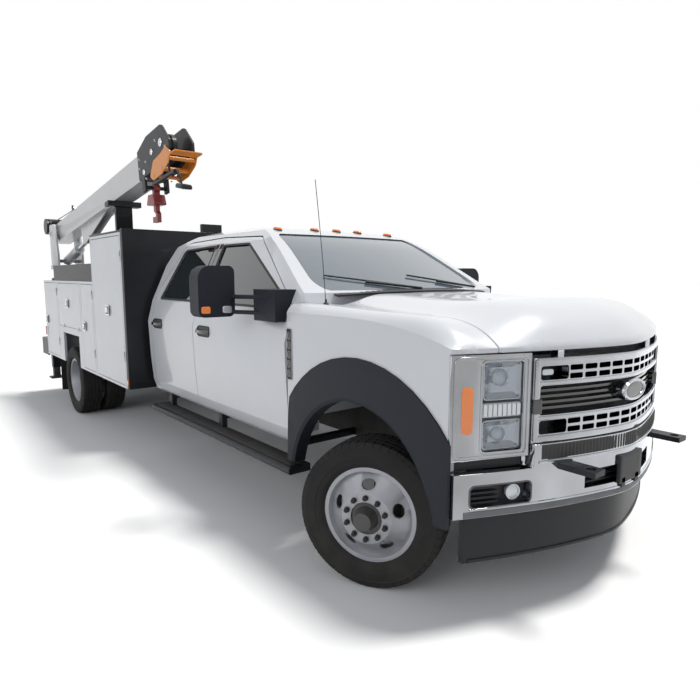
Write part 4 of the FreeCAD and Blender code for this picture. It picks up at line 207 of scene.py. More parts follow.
# finish: slot, colour, roughness and what its material adds
finishTable = {
    "whitePaint": ("white_paint", (0.66, 0.68, 0.715), 0.32,
                   {"coat": 0.7, "spread": 0.05, "scale": 3.0, "dusty": 0.08, "shade": 0.05}),
    "boxPaint": ("white_paint", (0.60, 0.625, 0.66), 0.36,
                 {"coat": 0.5, "spread": 0.08, "scale": 5.0, "dusty": 0.14, "shade": 0.08}),
    "boomPaint": ("boom_paint", (0.56, 0.57, 0.58), 0.40,
                  {"coat": 0.5, "spread": 0.2, "scale": 14.0, "shade": 0.12}),
    "blackPaint": ("black_paint", (0.012, 0.013, 0.016), 0.42,
                   {"coat": 0.12, "spread": 0.12, "scale": 30.0, "Specular_IOR_Level": 0.22}),
    "chassisBlack": ("chassis_black", (0.02, 0.02, 0.021), 0.55,
                     {"spread": 0.2, "scale": 40.0, "dusty": 0.5, "Specular_IOR_Level": 0.15}),
    "chrome": ("chrome", (0.80, 0.81, 0.83), 0.07,
               {"metallic": 1.0, "spread": 0.05, "scale": 8.0, "shade": 0.0}),
    "flarePlastic": ("black_plastic", (0.009, 0.012, 0.019), 0.52,
                     {"depth": 0.25, "spread": 0.12, "scale": 900.0, "Specular_IOR_Level": 0.25}),
    "trimPlastic": ("black_plastic", (0.012, 0.013, 0.016), 0.38,
                    {"depth": 0.12, "spread": 0.1, "scale": 900.0, "Specular_IOR_Level": 0.28}),
    "rubber": ("tyre", (0.017, 0.017, 0.018), 0.72,
               {"depth": 0.2, "spread": 0.14, "scale": 500.0, "dusty": 0.15, "Specular_IOR_Level": 0.15}),
    "rimPaint": ("rim_paint", (0.34, 0.345, 0.37), 0.38, {"metallic": 0.35, "spread": 0.12, "scale": 60.0}),
    "seatFabric": ("seat_fabric", (0.035, 0.036, 0.04), 0.9,
                   {"depth": 0.5, "spread": 0.12, "scale": 1400.0, "Specular_IOR_Level": 0.1}),
    "insidePlastic": ("inside_plastic", (0.03, 0.031, 0.034), 0.6,
                      {"depth": 0.2, "spread": 0.12, "scale": 700.0, "Specular_IOR_Level": 0.15}),
    "castMetal": ("cast_metal", (0.05, 0.05, 0.055), 0.6,
                  {"metallic": 0.6, "depth": 0.4, "spread": 0.2, "scale": 200.0, "dusty": 0.4}),
    "steelRod": ("steel", (0.62, 0.63, 0.65), 0.16,
                 {"metallic": 1.0, "depth": 0.04, "spread": 0.08, "scale": 240.0, "shade": 0.08}),
    "hookRed": ("hook_red", (0.22, 0.02, 0.02), 0.42,
                {"coat": 0.3, "depth": 0.12, "spread": 0.2, "scale": 110.0}),
    "safetyOrange": ("hook_red", (0.72, 0.24, 0.02), 0.42,
                     {"coat": 0.3, "depth": 0.1, "spread": 0.16, "scale": 120.0, "shade": 0.14}),
    "amberLens": ("lamp", (0.85, 0.20, 0.01), 0.15,
                  {"coat": 1.0, "depth": 0.25, "spread": 0.05, "scale": 150.0, "shade": 0.14,
                   "Emission_Color": (0.9, 0.22, 0.02, 1), "Emission_Strength": 0.12}),
    "redLens": ("lamp", (0.42, 0.01, 0.01), 0.15,
                {"coat": 1.0, "depth": 0.25, "spread": 0.05, "scale": 150.0}),
    "ropeSteel": ("steel", (0.20, 0.20, 0.21), 0.45,
                  {"metallic": 0.9, "depth": 0.5, "spread": 0.2, "scale": 420.0}),
    "sealRubber": ("black_plastic", (0.012, 0.012, 0.013), 0.60,
                   {"depth": 0.15, "scale": 700.0, "spread": 0.15}),
    "stepRubber": ("black_plastic", (0.020, 0.020, 0.021), 0.66,
                   {"depth": 0.35, "scale": 500.0, "spread": 0.2, "dusty": 0.3}),
    "gloss": ("black_plastic", (0.010, 0.011, 0.013), 0.16, {"coat": 1.0, "spread": 0.06, "scale": 20.0}),
    "handleCup": ("black_plastic", (0.030, 0.031, 0.034), 0.50,
                  {"depth": 0.1, "scale": 600.0, "spread": 0.1}),
    "mirrorGlass": ("chrome", (0.72, 0.74, 0.76), 0.03, {"metallic": 1.0, "spread": 0.02, "scale": 14.0}),
    "nutBlack": ("black_paint", (0.014, 0.014, 0.016), 0.30,
                 {"metallic": 0.5, "spread": 0.15, "scale": 120.0}),
    "reflector": ("chrome", (0.86, 0.87, 0.89), 0.10,
                  {"metallic": 1.0, "depth": 0.35, "scale": 90.0, "spread": 0.06, "shade": 0.0}),
    "radiator": ("black_plastic", (0.010, 0.010, 0.011), 0.55, {"depth": 0.8, "scale": 260.0, "spread": 0.2}),
    "greyPlastic": ("black_plastic", (0.16, 0.165, 0.175), 0.50,
                    {"depth": 0.15, "scale": 700.0, "spread": 0.1}),
    "badgeGrey": ("black_paint", (0.060, 0.062, 0.068), 0.26, {"coat": 1.0, "spread": 0.06, "scale": 50.0}),
    "clearCap": ("lamp", (0.62, 0.65, 0.68), 0.12,
                 {"metallic": 0.35, "coat": 1.0, "depth": 0.3, "scale": 160.0}),
    "polished": ("chrome", (0.66, 0.67, 0.69), 0.16,
                 {"metallic": 1.0, "spread": 0.1, "scale": 90.0, "shade": 0.0}),
}
# window: slot, tint seen through it, how clear it is, deep colour; the windscreen's is a painted sky reflection
windowTable = {"windscreen": ("glass", (0.66, 0.76, 0.82), 0.48, (0.16, 0.20, 0.24)),
               "sideGlass": ("glass", (0.30, 0.34, 0.38), 0.42, (0.02, 0.03, 0.035)),
               "clearLens": ("lamp", (0.92, 0.95, 0.98), 0.85, (0.02, 0.03, 0.035))}
finishes = {name: finishOf(name, *row[1:3], **row[3]) for name, row in finishTable.items()}
finishes.update({name: windowFinish(name, *row[1:]) for name, row in windowTable.items()})
# painted reflection on chrome, reflector and polished metal: dark seen straight on, bright at a low angle
for name, reflectionFaceOn, reflectionLowAngle in (("chrome", (0.10, 0.095, 0.090), (0.86, 0.90, 0.96)),
                                ("reflector", (0.30, 0.31, 0.33), (0.92, 0.94, 0.97)),
                                ("polished", (0.22, 0.225, 0.235), (0.86, 0.88, 0.92))):
    paintedReflectionTint(finishes[name], reflectionFaceOn, reflectionLowAngle)
print("finishes made:", len(finishes))


# metres at which points are joined, and degrees at which faces are joined, smoothed or rounded
seams = {"weld": 0.0001, "merge": 0.00005, "flat": 0.6, "smooth": 32, "edge": 40}
# where one node is shared out among finishes: place along, heights and half width
apart = {"lens": 3.52, "hub": 0.55, "window": 1.2, "barLow": 1.024, "barHigh": 1.156, "barHalf": 0.585}


def bodyOf(name):
    # body that carries a node
    return nodes[name]["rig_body"]


def islandsOf(work):
    # groups of faces that hang together, each with the corners of its box
    left, groups = set(work.faces), []
    while left:
        found, stack = [], [left.pop()]
        while stack:
            face = stack.pop()
            found.append(face)
            for edge in face.edges:
                near = [other for other in edge.link_faces if other in left]
                left.difference_update(near)
                stack.extend(near)
        points = np.array([corner.co for face in found for corner in face.verts])
        groups.append((found, points.min(axis=0), points.max(axis=0)))
    return groups


def dressed(name, number, finish, bevel, island=None, only=None):
    # welded copy of a node: flat regions joined, smooth shading up to an angle, edges rounded by millimetres
    data = nodes[name].data.copy()
    work = bmesh.new()
    work.from_mesh(data)
    bmesh.ops.remove_doubles(work, verts=work.verts, dist=seams["weld"])
    if island is not None:
        loose = [face for found, low, high in islandsOf(work) if not island(low, high) for face in found]
        bmesh.ops.delete(work, geom=loose, context="FACES")
    bmesh.ops.dissolve_limit(work, angle_limit=np.radians(seams["flat"]), verts=work.verts,
                            edges=work.edges)
    if only is not None:
        loose = [face for face in work.faces if not only(face.calc_center_median())]
        bmesh.ops.delete(work, geom=loose, context="FACES")
    bmesh.ops.recalc_face_normals(work, faces=work.faces)
    work.to_mesh(data)
    work.free()
    data.materials.clear()
    data.materials.append(finishes[finish])
    data.shade_smooth()
    data.set_sharp_from_angle(angle=np.radians(seams["smooth"]))
    made = bpy.data.objects.new("look_%s_%d" % (name, number), data)
    scene.collection.objects.link(made)
    if bevel:
        edge = made.modifiers.new("edges", "BEVEL")
        edge.width, edge.segments, edge.limit_method = bevel / 1000, 2, "ANGLE"
        edge.angle_limit = np.radians(seams["edge"])
        edge.use_clamp_overlap, edge.harden_normals = True, False
    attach(made, bodyOf(name))
    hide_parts(name)
    looks[made.name] = made


def inGrille(middle):
    # whether a face lies on the dark bar in the middle of the grille
    return apart["barLow"] < middle.z < apart["barHigh"] and abs(middle.y) < apart["barHalf"]


# node: its finish and the rounding of its edges; a list where a test of an island's box or of a face's middle
# shares the node out among several finishes
dress = {
    "frame_ladder": ("chassisBlack", 3), "front_axle": ("chassisBlack", 3), "rear_axle": ("chassisBlack", 3),
    "springs": ("chassisBlack", 2), "engine_block": ("castMetal", 8), "driveline_and_tank": ("chassisBlack", 2),
    "cab_shell": ("whitePaint", 3), "cab_glass": ("windscreen", 0), "cab_seats": ("seatFabric", 12),
    "dashboard": ("insidePlastic", 6), "front_fenders": ("whitePaint", 3),
    "fender_flares": ("flarePlastic", 1.5),
    "headlamps": [("chrome", 3, lambda low, high: low[0] < apart["lens"]),
                  ("clearLens", 0, lambda low, high: low[0] > apart["lens"])],
    "grille": [("chrome", 4, None, lambda middle: not inGrille(middle)), ("gloss", 2, None, inGrille)],
    "front_bumper": ("chrome", 10), "air_dam_and_hooks": ("trimPlastic", 8),
    "running_boards": ("trimPlastic", 5),
    "side_boxes": ("boxPaint", 3), "bulkhead": ("blackPaint", 4), "bed_floor": ("chassisBlack", 3),
    "top_trays": ("blackPaint", 4), "rear_bumper": ("blackPaint", 4), "mud_flaps": ("rubber", 2),
    "crane_pedestal": ("blackPaint", 3), "hood": ("whitePaint", 4), "tailgate": ("boxPaint", 3),
    "turret": ("boomPaint", 4), "boom_main": ("boomPaint", 5), "boom_extension": ("boomPaint", 3),
    "boom_head": ("blackPaint", 4), "winch": ("blackPaint", 4), "lift_barrel": ("boomPaint", 2),
    "lift_rod": ("steelRod", 1), "hook_block": ("hookRed", 5),
}
rim = [("rimPaint", 2, lambda low, high: high[2] > apart["hub"]),
       ("castMetal", 2, lambda low, high: high[2] < apart["hub"])]
door = [("whitePaint", 2.5, lambda low, high: low[2] < apart["window"]),
        ("sideGlass", 0, lambda low, high: low[2] > apart["window"])]
for sideName, side in sides:
    dress.update({"knuckle_" + sideName: ("chassisBlack", 3), "front_rim_" + sideName: rim,
                  "rear_rims_" + sideName: rim, "front_door_" + sideName: door, "rear_door_" + sideName: door,
                  "mirror_" + sideName: ("flarePlastic", 12),
                  "stabilizer_leg_" + sideName: ("chassisBlack", 2)})
    for row in ("tall", "mid", "wheel", "rear"):
        dress["body_door_%s_%s" % (row, sideName)] = ("boxPaint", 3)
looks = {}
for name, given in dress.items():
    for number, row in enumerate(given if isinstance(given, list) else [given]):
        dressed(name, number, *row)
print("nodes dressed:", len(looks))

frontAxle = 2.865
rearAxle = frontAxle - 5.156
nose = {"fall": 0.320, "half": 1.003, "power": 1.5, "lamp": 0.970, "bumper": 0.995, "grille": 0.980}


def skinAt(height):
    # half width of the door skin: straight lines between the heights where the side's section turns
    return np.interp(height, [0.61, 0.70, 0.93, 1.25, 1.44, 1.925, 2.005],
                     [0.955, 0.985, 1.004, 1.016, 0.965, 0.742, 0.670])


def noseAt(across, reach):
    # plan curve of the nose: it falls back by a power of the distance from the middle
    return frontAxle + reach - nose["fall"] * (np.abs(across) / nose["half"]) ** nose["power"]


def noseSlope(across):
    # how steeply the nose falls back: the derivative of its plan curve
    return nose["fall"] * nose["power"] / nose["half"] * (np.abs(across) / nose["half"]) ** (nose["power"] - 1)


def noseAhead(across, side):
    # outward direction of the nose at a place across, level with the ground
    turn = np.arctan(noseSlope(across))
    return np.array([np.cos(turn), side * np.sin(turn), 0])


def quads(rows, columns, closeRows, first):
    # corner numbers of the quads of a grid of points; its columns close, and its rows where asked
    place = first + np.arange(rows * columns).reshape(rows, columns)
    here, down = (place, np.roll(place, -1, axis=0)) if closeRows else (place[:-1], place[1:])
    return np.stack([here, np.roll(here, -1, axis=1), np.roll(down, -1, axis=1), down], axis=-1).reshape(-1, 4)


def pieceOf(name, grids, finish, body, smooth=35, closeRows=False):
    # one object from point grids: poles and seams are merged, holes filled, faces turned outwards
    points, faces, start = [], [], 0
    for grid in grids if isinstance(grids, list) else [grids]:
        rows, columns = grid.shape[:2]
        faces.append(quads(rows, columns, closeRows, start))
        points.append(grid.reshape(-1, 3))
        start += rows * columns
    data = bpy.data.meshes.new(name)
    data.from_pydata(np.concatenate(points).tolist(), [], np.concatenate(faces).tolist())
    work = bmesh.new()
    work.from_mesh(data)
    bmesh.ops.remove_doubles(work, verts=work.verts, dist=seams["merge"])
    bmesh.ops.holes_fill(work, edges=[edge for edge in work.edges if edge.is_boundary], sides=0)
    bmesh.ops.recalc_face_normals(work, faces=work.faces)
    work.to_mesh(data)
    work.free()
    data.materials.append(finishes[finish])
    data.shade_smooth()
    data.set_sharp_from_angle(angle=np.radians(smooth))
    made = bpy.data.objects.new(name, data)
    scene.collection.objects.link(made)
    if body:
        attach(made, body)
    return made


def roundedOutline(corners, radii, steps=6):
    # closed outline in a plane: each corner replaced by the arc that touches both of its sides
    corners = np.array(corners, float)
    radii = np.broadcast_to(np.array(radii, float), len(corners))
    into = np.roll(corners, 1, axis=0) - corners
    out = np.roll(corners, -1, axis=0) - corners
    into /= np.linalg.norm(into, axis=1, keepdims=True)
    out /= np.linalg.norm(out, axis=1, keepdims=True)
    half = np.arccos(np.clip((into * out).sum(axis=1), -1, 1)) / 2
    middle = into + out
    middle /= np.linalg.norm(middle, axis=1, keepdims=True)
    centre = corners + middle * (radii / np.sin(half))[:, None]
    start = corners + into * (radii / np.tan(half))[:, None] - centre
    end = corners + out * (radii / np.tan(half))[:, None] - centre
    share = np.linspace(0, 1, steps)[None, :, None]
    sweep = (np.pi - 2 * half)[:, None, None]
    arc = (np.sin((1 - share) * sweep) * start[:, None] + np.sin(share * sweep) * end[:, None]) / np.sin(sweep)
    return (centre[:, None] + arc).reshape(-1, 2)


def rectangle(left, right, low, high, radius):
    # rectangle between four edges with round corners
    return roundedOutline([(left, low), (right, low), (right, high), (left, high)], radius)


def around(x, y, halfWide, halfHigh, radius):
    # rectangle about a middle
    return rectangle(x - halfWide, x + halfWide, y - halfHigh, y + halfHigh, radius)


def plane(origin, first, second, third):
    # flat place: a point plus each of three values times its own direction
    origin, first, second, third = (np.array(way, float) for way in (origin, first, second, third))
    return lambda a, b, c: origin + a[..., None] * first + b[..., None] * second + c[..., None] * third


def facing(x, ahead, side=1):
    # plane across the truck: values across, up, and ahead or back
    return plane((x, 0, 0), (0, side, 0), (0, 0, 1), (ahead, 0, 0))


def beside(y, side):
    # plane along the truck: values along, up and outwards
    return plane((0, side * y, 0), (1, 0, 0), (0, 0, 1), (0, side, 0))


def level(x, z, first, second, tilt=0.0):
    # lying plane: values along two level directions and up, with the first tilted by a slope
    return plane((x, 0, z), (*first, tilt), (*second, 0), (0, 0, 1))


def onDoor(side):
    # the door's skin: values along, up and outwards
    return lambda along, up, out: np.stack([along, side * (skinAt(up) + out), up], axis=-1)


def onNose(reach, side=1):
    # the nose's curve: values across from the middle, up, and along the curve's own normal
    def place(across, up, out):
        across, slope = side * across, noseSlope(across)
        size = np.sqrt(1 + slope ** 2)
        return np.stack([noseAt(across, reach) + out / size,
                         across + np.sign(across) * out * slope / size, up], -1)
    return place


def levelRows(outline, levels):
    # rows of points, one for each level: the outline drawn in by the level's inset and lifted by its height
    along = np.roll(outline, -1, axis=0) - np.roll(outline, 1, axis=0)
    along /= np.maximum(np.linalg.norm(along, axis=1, keepdims=True), 1e-9)
    inward = np.stack([-along[:, 1], along[:, 0]], axis=1)
    turning = outline[:, 0] * np.roll(outline[:, 1], -1) - np.roll(outline[:, 0], -1) * outline[:, 1]
    inward *= np.sign(turning.sum())
    return np.stack([np.column_stack([outline + inward * inset, np.full(len(outline), lift)])
                     for inset, lift in levels])


def placed(flat, place):
    # rows of points given in a place's own three values, put where the place says
    return place(flat[..., 0], flat[..., 1], flat[..., 2])


def padGrid(outline, levels, place, rings=(0.75, 0.5, 0.25, 0.0)):
    # plate over an outline: its level rows, and rings that run in to the middle at both ends
    rows = levelRows(outline, levels)
    middle = outline.mean(axis=0)

    def shrunk(row, share):
        # row drawn in to a share of its distance from the middle
        return np.column_stack([middle + (row[:, :2] - middle) * share, row[:, 2]])
    first = [shrunk(rows[0], share) for share in rings[::-1]]
    return placed(np.stack(first + list(rows) + [shrunk(rows[-1], share) for share in rings]), place)


def plateLevels(thick, edge=0.0015, sunk=0.002):
    # side of a plate with a rounded upper edge
    return [(0.0, -sunk), (0.0, thick - edge), (edge * 0.3, thick - edge * 0.3), (edge, thick)]


def plate(name, outlines, thick, place, finish, body, sunk=0.002, edge=0.0015):
    # flat plates with rounded edges over one outline or several
    outlines = outlines if isinstance(outlines, list) else [outlines]
    levels = plateLevels(thick, edge, sunk)
    return pieceOf(name, [padGrid(outline, levels, place) for outline in outlines], finish, body)


def ring(name, outline, wide, thick, place, finish, body):
    # flat trim round an outline with both edges rounded
    edge = min(0.0015, wide / 4)
    levels = [(0.0, -0.002), (0.0, thick - edge), (edge, thick), (wide - edge, thick), (wide, thick - edge),
              (wide, -0.002)]
    return pieceOf(name, placed(levelRows(outline, levels), place), finish, body, closeRows=True)


def sweepGrid(path, profile, upward=(0, 0, 1)):
    # profile carried along a path: at each point it stands across the path's own direction
    path, profile = np.array(path, float), np.array(profile, float)
    ahead = np.gradient(path, axis=0)
    ahead /= np.linalg.norm(ahead, axis=1, keepdims=True)
    side = np.cross(np.broadcast_to(np.array(upward, float), ahead.shape), ahead)
    side /= np.linalg.norm(side, axis=1, keepdims=True)
    up = np.cross(ahead, side)
    return path[:, None] + side[:, None] * profile[None, :, :1] + up[:, None] * profile[None, :, 1:]


def capped(grid, middle=None):
    # tube with its ends closed: the first and last rows again, drawn in to their middles
    middle = grid.mean(axis=1, keepdims=True) if middle is None else middle[:, None]
    return np.concatenate([middle[:1] + (grid[:1] - middle[:1]) * 0.001, grid,
                           middle[-1:] + (grid[-1:] - middle[-1:]) * 0.001])


def circle(radius, count):
    # points on a circle at equal turns
    turn = np.arange(count) / count * tau
    return np.stack([radius * np.cos(turn), radius * np.sin(turn)], axis=1)


def curve(points, count):
    # smooth path through a few points: each coordinate is a polynomial of the share of the way along them
    points = np.array(points, float)
    step = np.concatenate([[0], np.cumsum(np.linalg.norm(np.diff(points, axis=0), axis=1))])
    fine, degree = np.linspace(0, 1, count), len(points) - 1
    return np.stack([np.polyval(np.polyfit(step / step[-1], row, degree), fine) for row in points.T], axis=1)


def turnedGrid(profile, centre, axis, count=32, start=0.0):
    # profile of radius and distance along, carried round an axis
    axis = np.array(axis, float) / np.linalg.norm(axis)
    other = np.array([0, 0, 1.0]) if abs(axis[2]) < 0.9 else np.array([1.0, 0, 0])
    across = np.cross(other, axis)
    across /= np.linalg.norm(across)
    up = np.cross(axis, across)
    turn = start + np.arange(count) / count * tau
    spoke = np.cos(turn)[:, None] * across + np.sin(turn)[:, None] * up
    profile = np.array(profile, float)
    return (np.array(centre, float) + profile[:, None, :1] * spoke[None]
            + profile[:, None, 1:] * axis[None, None])


def turned(name, profile, centre, axis, finish, body, count=32):
    # piece made of one turned form
    return pieceOf(name, turnedGrid(profile, centre, axis, count), finish, body)


def rodPiece(name, path, radius, finish, body, count=12, upward=(0, 0, 1), smooth=50):
    # round bar along a path
    path = np.array(path, float)
    return pieceOf(name, capped(sweepGrid(path, circle(radius, count), upward), path), finish, body, smooth)


def ribbed(name, ends, rim, ribs, depth, place, body, base=0.75, sunk=0.003):
    # ribbed rubber pad: its lift is a raised cosine of the place along, times a share that falls at the rim
    wide, share = np.array(rim).T
    along = np.linspace(*ends, ribs * 8 + 1)[:, None]
    lift = depth * (base - 0.5 * np.cos(np.linspace(0, ribs, ribs * 8 + 1) * tau))[:, None]
    grid = place(along + 0 * wide, wide + 0 * along, lift * share - sunk * (share == 0))
    return pieceOf(name, capped(grid), "stepRubber", body, 50)


def rimOf(low, high):
    # outline of a pad across its ribs: place across and share of the lift
    return [(low, 0.0), (low, 0.8), (low + 0.003, 1.0), (high - 0.003, 1.0), (high, 0.8), (high, 0.0),
            (low, 0.0)]


chassis = bodyOf("frame_ladder")
wheel = {"radius": 0.4055, "steer": 28.0, "kingpin": 0.80, "offset": 0.15, "rear": 0.94, "twin": 0.135}
tyre = {"tread": 0.092, "groove": 0.009, "pitches": 54, "kerf": 0.16, "drop": 0.0015, "crown": 0.004,
        "ribs": [-0.092, -0.0635, -0.062, -0.054, -0.0525, -0.0225, -0.021, -0.013, -0.0115],
        "cut": [0, 0, 1, 1, 0, 0, 1, 1, 0],
        "wall": [(0.3985, 0.1005), (0.388, 0.106), (0.372, 0.1085), (0.368, 0.1105), (0.363, 0.1105),
                 (0.359, 0.109), (0.335, 0.1125), (0.312, 0.113), (0.308, 0.1105), (0.290, 0.110),
                 (0.278, 0.105), (0.2705, 0.099), (0.2625, 0.0905), (0.2485, 0.0765)]}
nut = {"count": 10, "circle": 0.1125, "turn": 0.3,
       "profile": [(0, 0), (0.0165, 0), (0.0165, 0.004), (0.0135, 0.005), (0.0135, 0.020), (0.009, 0.024),
                   (0, 0.024)]}


def wheelPlace(side, steered):
    # middle and outward direction of a wheel; the front ones are turned about their kingpins
    turn = np.radians(wheel["steer"]) if steered else 0.0
    axis = np.array([-np.sin(turn) * side, np.cos(turn) * side, 0.0])
    if steered:
        return np.array([frontAxle, wheel["kingpin"] * side, wheel["radius"]]) + axis * wheel["offset"], axis
    return np.array([rearAxle, wheel["rear"] * side, wheel["radius"]]), axis


def tyreGrid(middle, axis):
    # radius over turn and place across: crowned tread with round grooves, cut by slots open at the shoulders
    across = np.concatenate([tyre["ribs"], -np.array(tyre["ribs"])[::-1]])
    cut = np.concatenate([tyre["cut"], tyre["cut"][::-1]])
    crown = wheel["radius"] - tyre["drop"] - tyre["crown"] * (across / tyre["tread"]) ** 2
    local = np.array([0.0, 0.03, tyre["kerf"], tyre["kerf"] + 0.03])
    turn = ((np.arange(tyre["pitches"])[:, None] + local[None]) / tyre["pitches"]).ravel() * tau
    inSlot = np.tile([0.0, 1.0, 1.0, 0.0], tyre["pitches"])
    shoulder = np.clip((np.abs(across) - 0.0525) / 0.02, 0, 1)
    slot = inSlot[:, None] * (0.35 + 0.65 * shoulder[None]) * tyre["groove"] * 0.9
    depth = np.where(np.abs(across)[None] < 0.012, cut[None] * tyre["groove"],
                     np.maximum(cut[None] * tyre["groove"], slot))
    tread = crown[None] - depth
    wall = np.array(tyre["wall"])
    wallRadius = np.broadcast_to(wall[:, 0], (len(turn), len(wall)))
    lug = 0.35 * inSlot[:, None] * np.array([1, 0.8, 0.2] + [0] * (len(wall) - 3))[None]
    wallAcross = wall[None, :, 1] - lug * 0.012
    radius = np.concatenate([wallRadius[:, ::-1], tread, wallRadius], axis=1)
    place = np.concatenate([-wallAcross[:, ::-1], np.broadcast_to(across, tread.shape), wallAcross], axis=1)
    up = np.array([0, 0, 1.0])
    spoke = np.cos(turn)[:, None] * np.cross(axis, up) + np.sin(turn)[:, None] * up
    return middle + radius[..., None] * spoke[:, None] + place[..., None] * axis


def nutGrids(middle, axis, face):
    # wheel nuts: six-sided turned forms with a round washer, on a circle about the hub
    up = np.array([0, 0, 1.0])
    return [turnedGrid(nut["profile"], middle + axis * face
                       + nut["circle"] * (np.cos(turn) * np.cross(axis, up) + np.sin(turn) * up), axis, 6, turn)
            for turn in np.arange(nut["count"]) / nut["count"] * tau + nut["turn"]]


for sideName, side in sides:
    for row, word, offsets, face in (("front", "tyre_", (0,), 0.136), ("rear", "tyres_", (1, -1), 0.013)):
        middle, axis = wheelPlace(side, row == "front")
        node = "%s_%s%s" % (row, word, sideName)
        made = pieceOf(word + row + "_" + sideName, [tyreGrid(middle + axis * wheel["twin"] * offset, axis)
                                                     for offset in offsets], "rubber", bodyOf(node), 28, True)
        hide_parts(node)
        pieceOf("nuts_%s_%s" % (row, sideName), nutGrids(middle, axis, face), "nutBlack", bodyOf(node), 30)
print("tyres and nuts made")

doors = {"front": {"window": [(2.113, 1.452), (2.082, 1.514), (1.296, 1.913), (0.877, 1.913), (0.877, 1.452)],
                   "radii": [0.004, 0.03, 0.062, 0.02, 0.02], "pillar": (0.8215, 0.880),
                   "handle": (0.905, 1.125)},
         "rear": {"window": [(0.753, 1.452), (0.753, 1.913), (0.155, 1.893), (0.008, 1.452)],
                  "radii": [0.02, 0.02, 0.06, 0.02], "pillar": (0.750, 0.8095), "handle": (-0.035, 0.175)}}
handle = {"height": 1.238, "cup": 0.036, "trim": 0.043, "bow": 0.030, "steps": 19,
          "bar": [(-0.007, -0.014), (0.007, -0.014), (0.007, 0.014), (-0.007, 0.014)],
          "lock": [(0, 0), (0.010, 0), (0.010, 0.002), (0.0085, 0.003), (0, 0.003)]}
# mirror plates: outline, thickness, finish, place along the truck, which way they face, sunk depth
mirrorPlates = {"glass": ((1.143, 1.362, 1.522, 1.712, 0.022), 0.002, "mirrorGlass", 1.6245, -1, 0.001),
                "spot": ((1.143, 1.362, 1.418, 1.505, 0.020), 0.002, "mirrorGlass", 1.6245, -1, 0.001),
                "marker": ((1.300, 1.362, 1.425, 1.470, 0.012), 0.004, "amberLens", 1.755, 1, 0.002),
                "lamp": ((1.150, 1.215, 1.425, 1.470, 0.012), 0.004, "clearCap", 1.755, 1, 0.002)}
vent = {"panel": (2.189, 2.243, 1.03, 1.345, 0.012), "line": (2.186, 2.246, 1.027, 1.348, 0.014),
        "louvre": (2.196, 2.236, 0.050, 0.008), "heights": np.arange(1.045, 1.30, 0.058),
        "levels": [(0.0, 0.001), (0.002, 0.006), (0.012, 0.0075), (0.014, 0.0045)], "out": 1.003}
board = {"ends": (0.05, 2.27), "rim": (0.935, 1.050), "ribs": 74, "depth": 0.0045, "top": 0.500}
for sideName, side in sides:
    for row, given in doors.items():
        body, name, skin = bodyOf("%s_door_%s" % (row, sideName)), row + "_" + sideName, onDoor(side)
        left, right = given["handle"]
        height = handle["height"]
        ring("window_seal_" + name, roundedOutline(given["window"], given["radii"]), 0.016, 0.0035, skin,
             "sealRubber", body)
        plate("pillar_plate_" + name, rectangle(*given["pillar"], 1.446, 1.918, 0.006), 0.003, skin, "gloss",
              body)
        plate("handle_cup_" + name, rectangle(left + 0.01, right - 0.012, height - handle["cup"],
                                              height + handle["cup"], 0.030), 0.0022, skin, "handleCup", body)
        ring("handle_trim_" + name,
             rectangle(left, right, height - handle["trim"], height + handle["trim"], 0.036), 0.008, 0.006,
             skin, "trimPlastic", body)
        share = np.linspace(0, 1, handle["steps"])
        bow = skinAt(height) + 0.004 + handle["bow"] * np.sin(np.pi * share) ** 0.5
        path = np.stack([left + 0.006 + (right - left - 0.012) * share, side * bow, height + 0 * share],
                        axis=-1)
        pieceOf("handle_bar_" + name, capped(sweepGrid(path, roundedOutline(handle["bar"], 0.006, 4)), path),
                "gloss", body)
        turned("door_lock_" + name, handle["lock"], (left - 0.022, side * (skinAt(height) - 0.001), height),
               (0, side, 0), "chrome", body, 20)
    for row, (outline, thick, finish, x, ahead, sunk) in mirrorPlates.items():
        plate("mirror_%s_%s" % (row, sideName), rectangle(*outline), thick, facing(x, ahead, side), finish,
              bodyOf("mirror_" + sideName), sunk)
    place = beside(vent["out"], side)
    plate("vent_panel_" + sideName, rectangle(*vent["panel"]), 0.003, place, "trimPlastic", chassis)
    ring("vent_line_" + sideName, rectangle(*vent["line"]), 0.004, 0.006, place, "chrome", chassis)
    back, ahead, tall, radius = vent["louvre"]
    pieceOf("vent_louvres_" + sideName, [
        padGrid(rectangle(back, ahead, low, low + tall, radius), vent["levels"], place, (0.6, 0.0))
        for low in vent["heights"]], "gloss", chassis)
    ribbed("board_ribs_" + sideName, board["ends"], rimOf(*board["rim"]), board["ribs"], board["depth"],
           level(0, board["top"], (1, 0), (0, side)), chassis)
print("door and mirror details made")

# plates on both halves of the nose: outline, thickness, the curve and how far behind it, finish, and where
# they differ from the usual ones the sunk depth and the edge
nosePlates = {
    "lamp_bar": ((0.668, 0.860, 1.024, 1.092, 0.012), 0.0, "lamp", 0.010, "reflector", 0.020),
    "lamp_marker": ((0.905, 0.955, 0.955, 1.172, 0.020), 0.005, "lamp", 0.0, "amberLens", 0.001),
    "lamp_filler": ((0.640, 0.975, 0.780, 0.829, 0.004), 0.004, "lamp", 0.035, "trimPlastic"),
    "grille_lamp": ((0.500, 0.560, 1.205, 1.233, 0.010), 0.006, "grille", 0.030, "clearCap", 0.02),
    "grille_end": ((0.602, 0.626, 0.896, 1.284, 0.008), 0.009, "grille", 0.0, "chrome", 0.01, 0.003),
    "grille_band": ((0.588, 0.632, 1.030, 1.100, 0.004), 0.012, "grille", 0.0, "gloss", 0.01),
    "fog_backing": ((0.622, 0.938, 0.602, 0.726, 0.030), 0.004, "bumper", 0.052, "trimPlastic"),
}
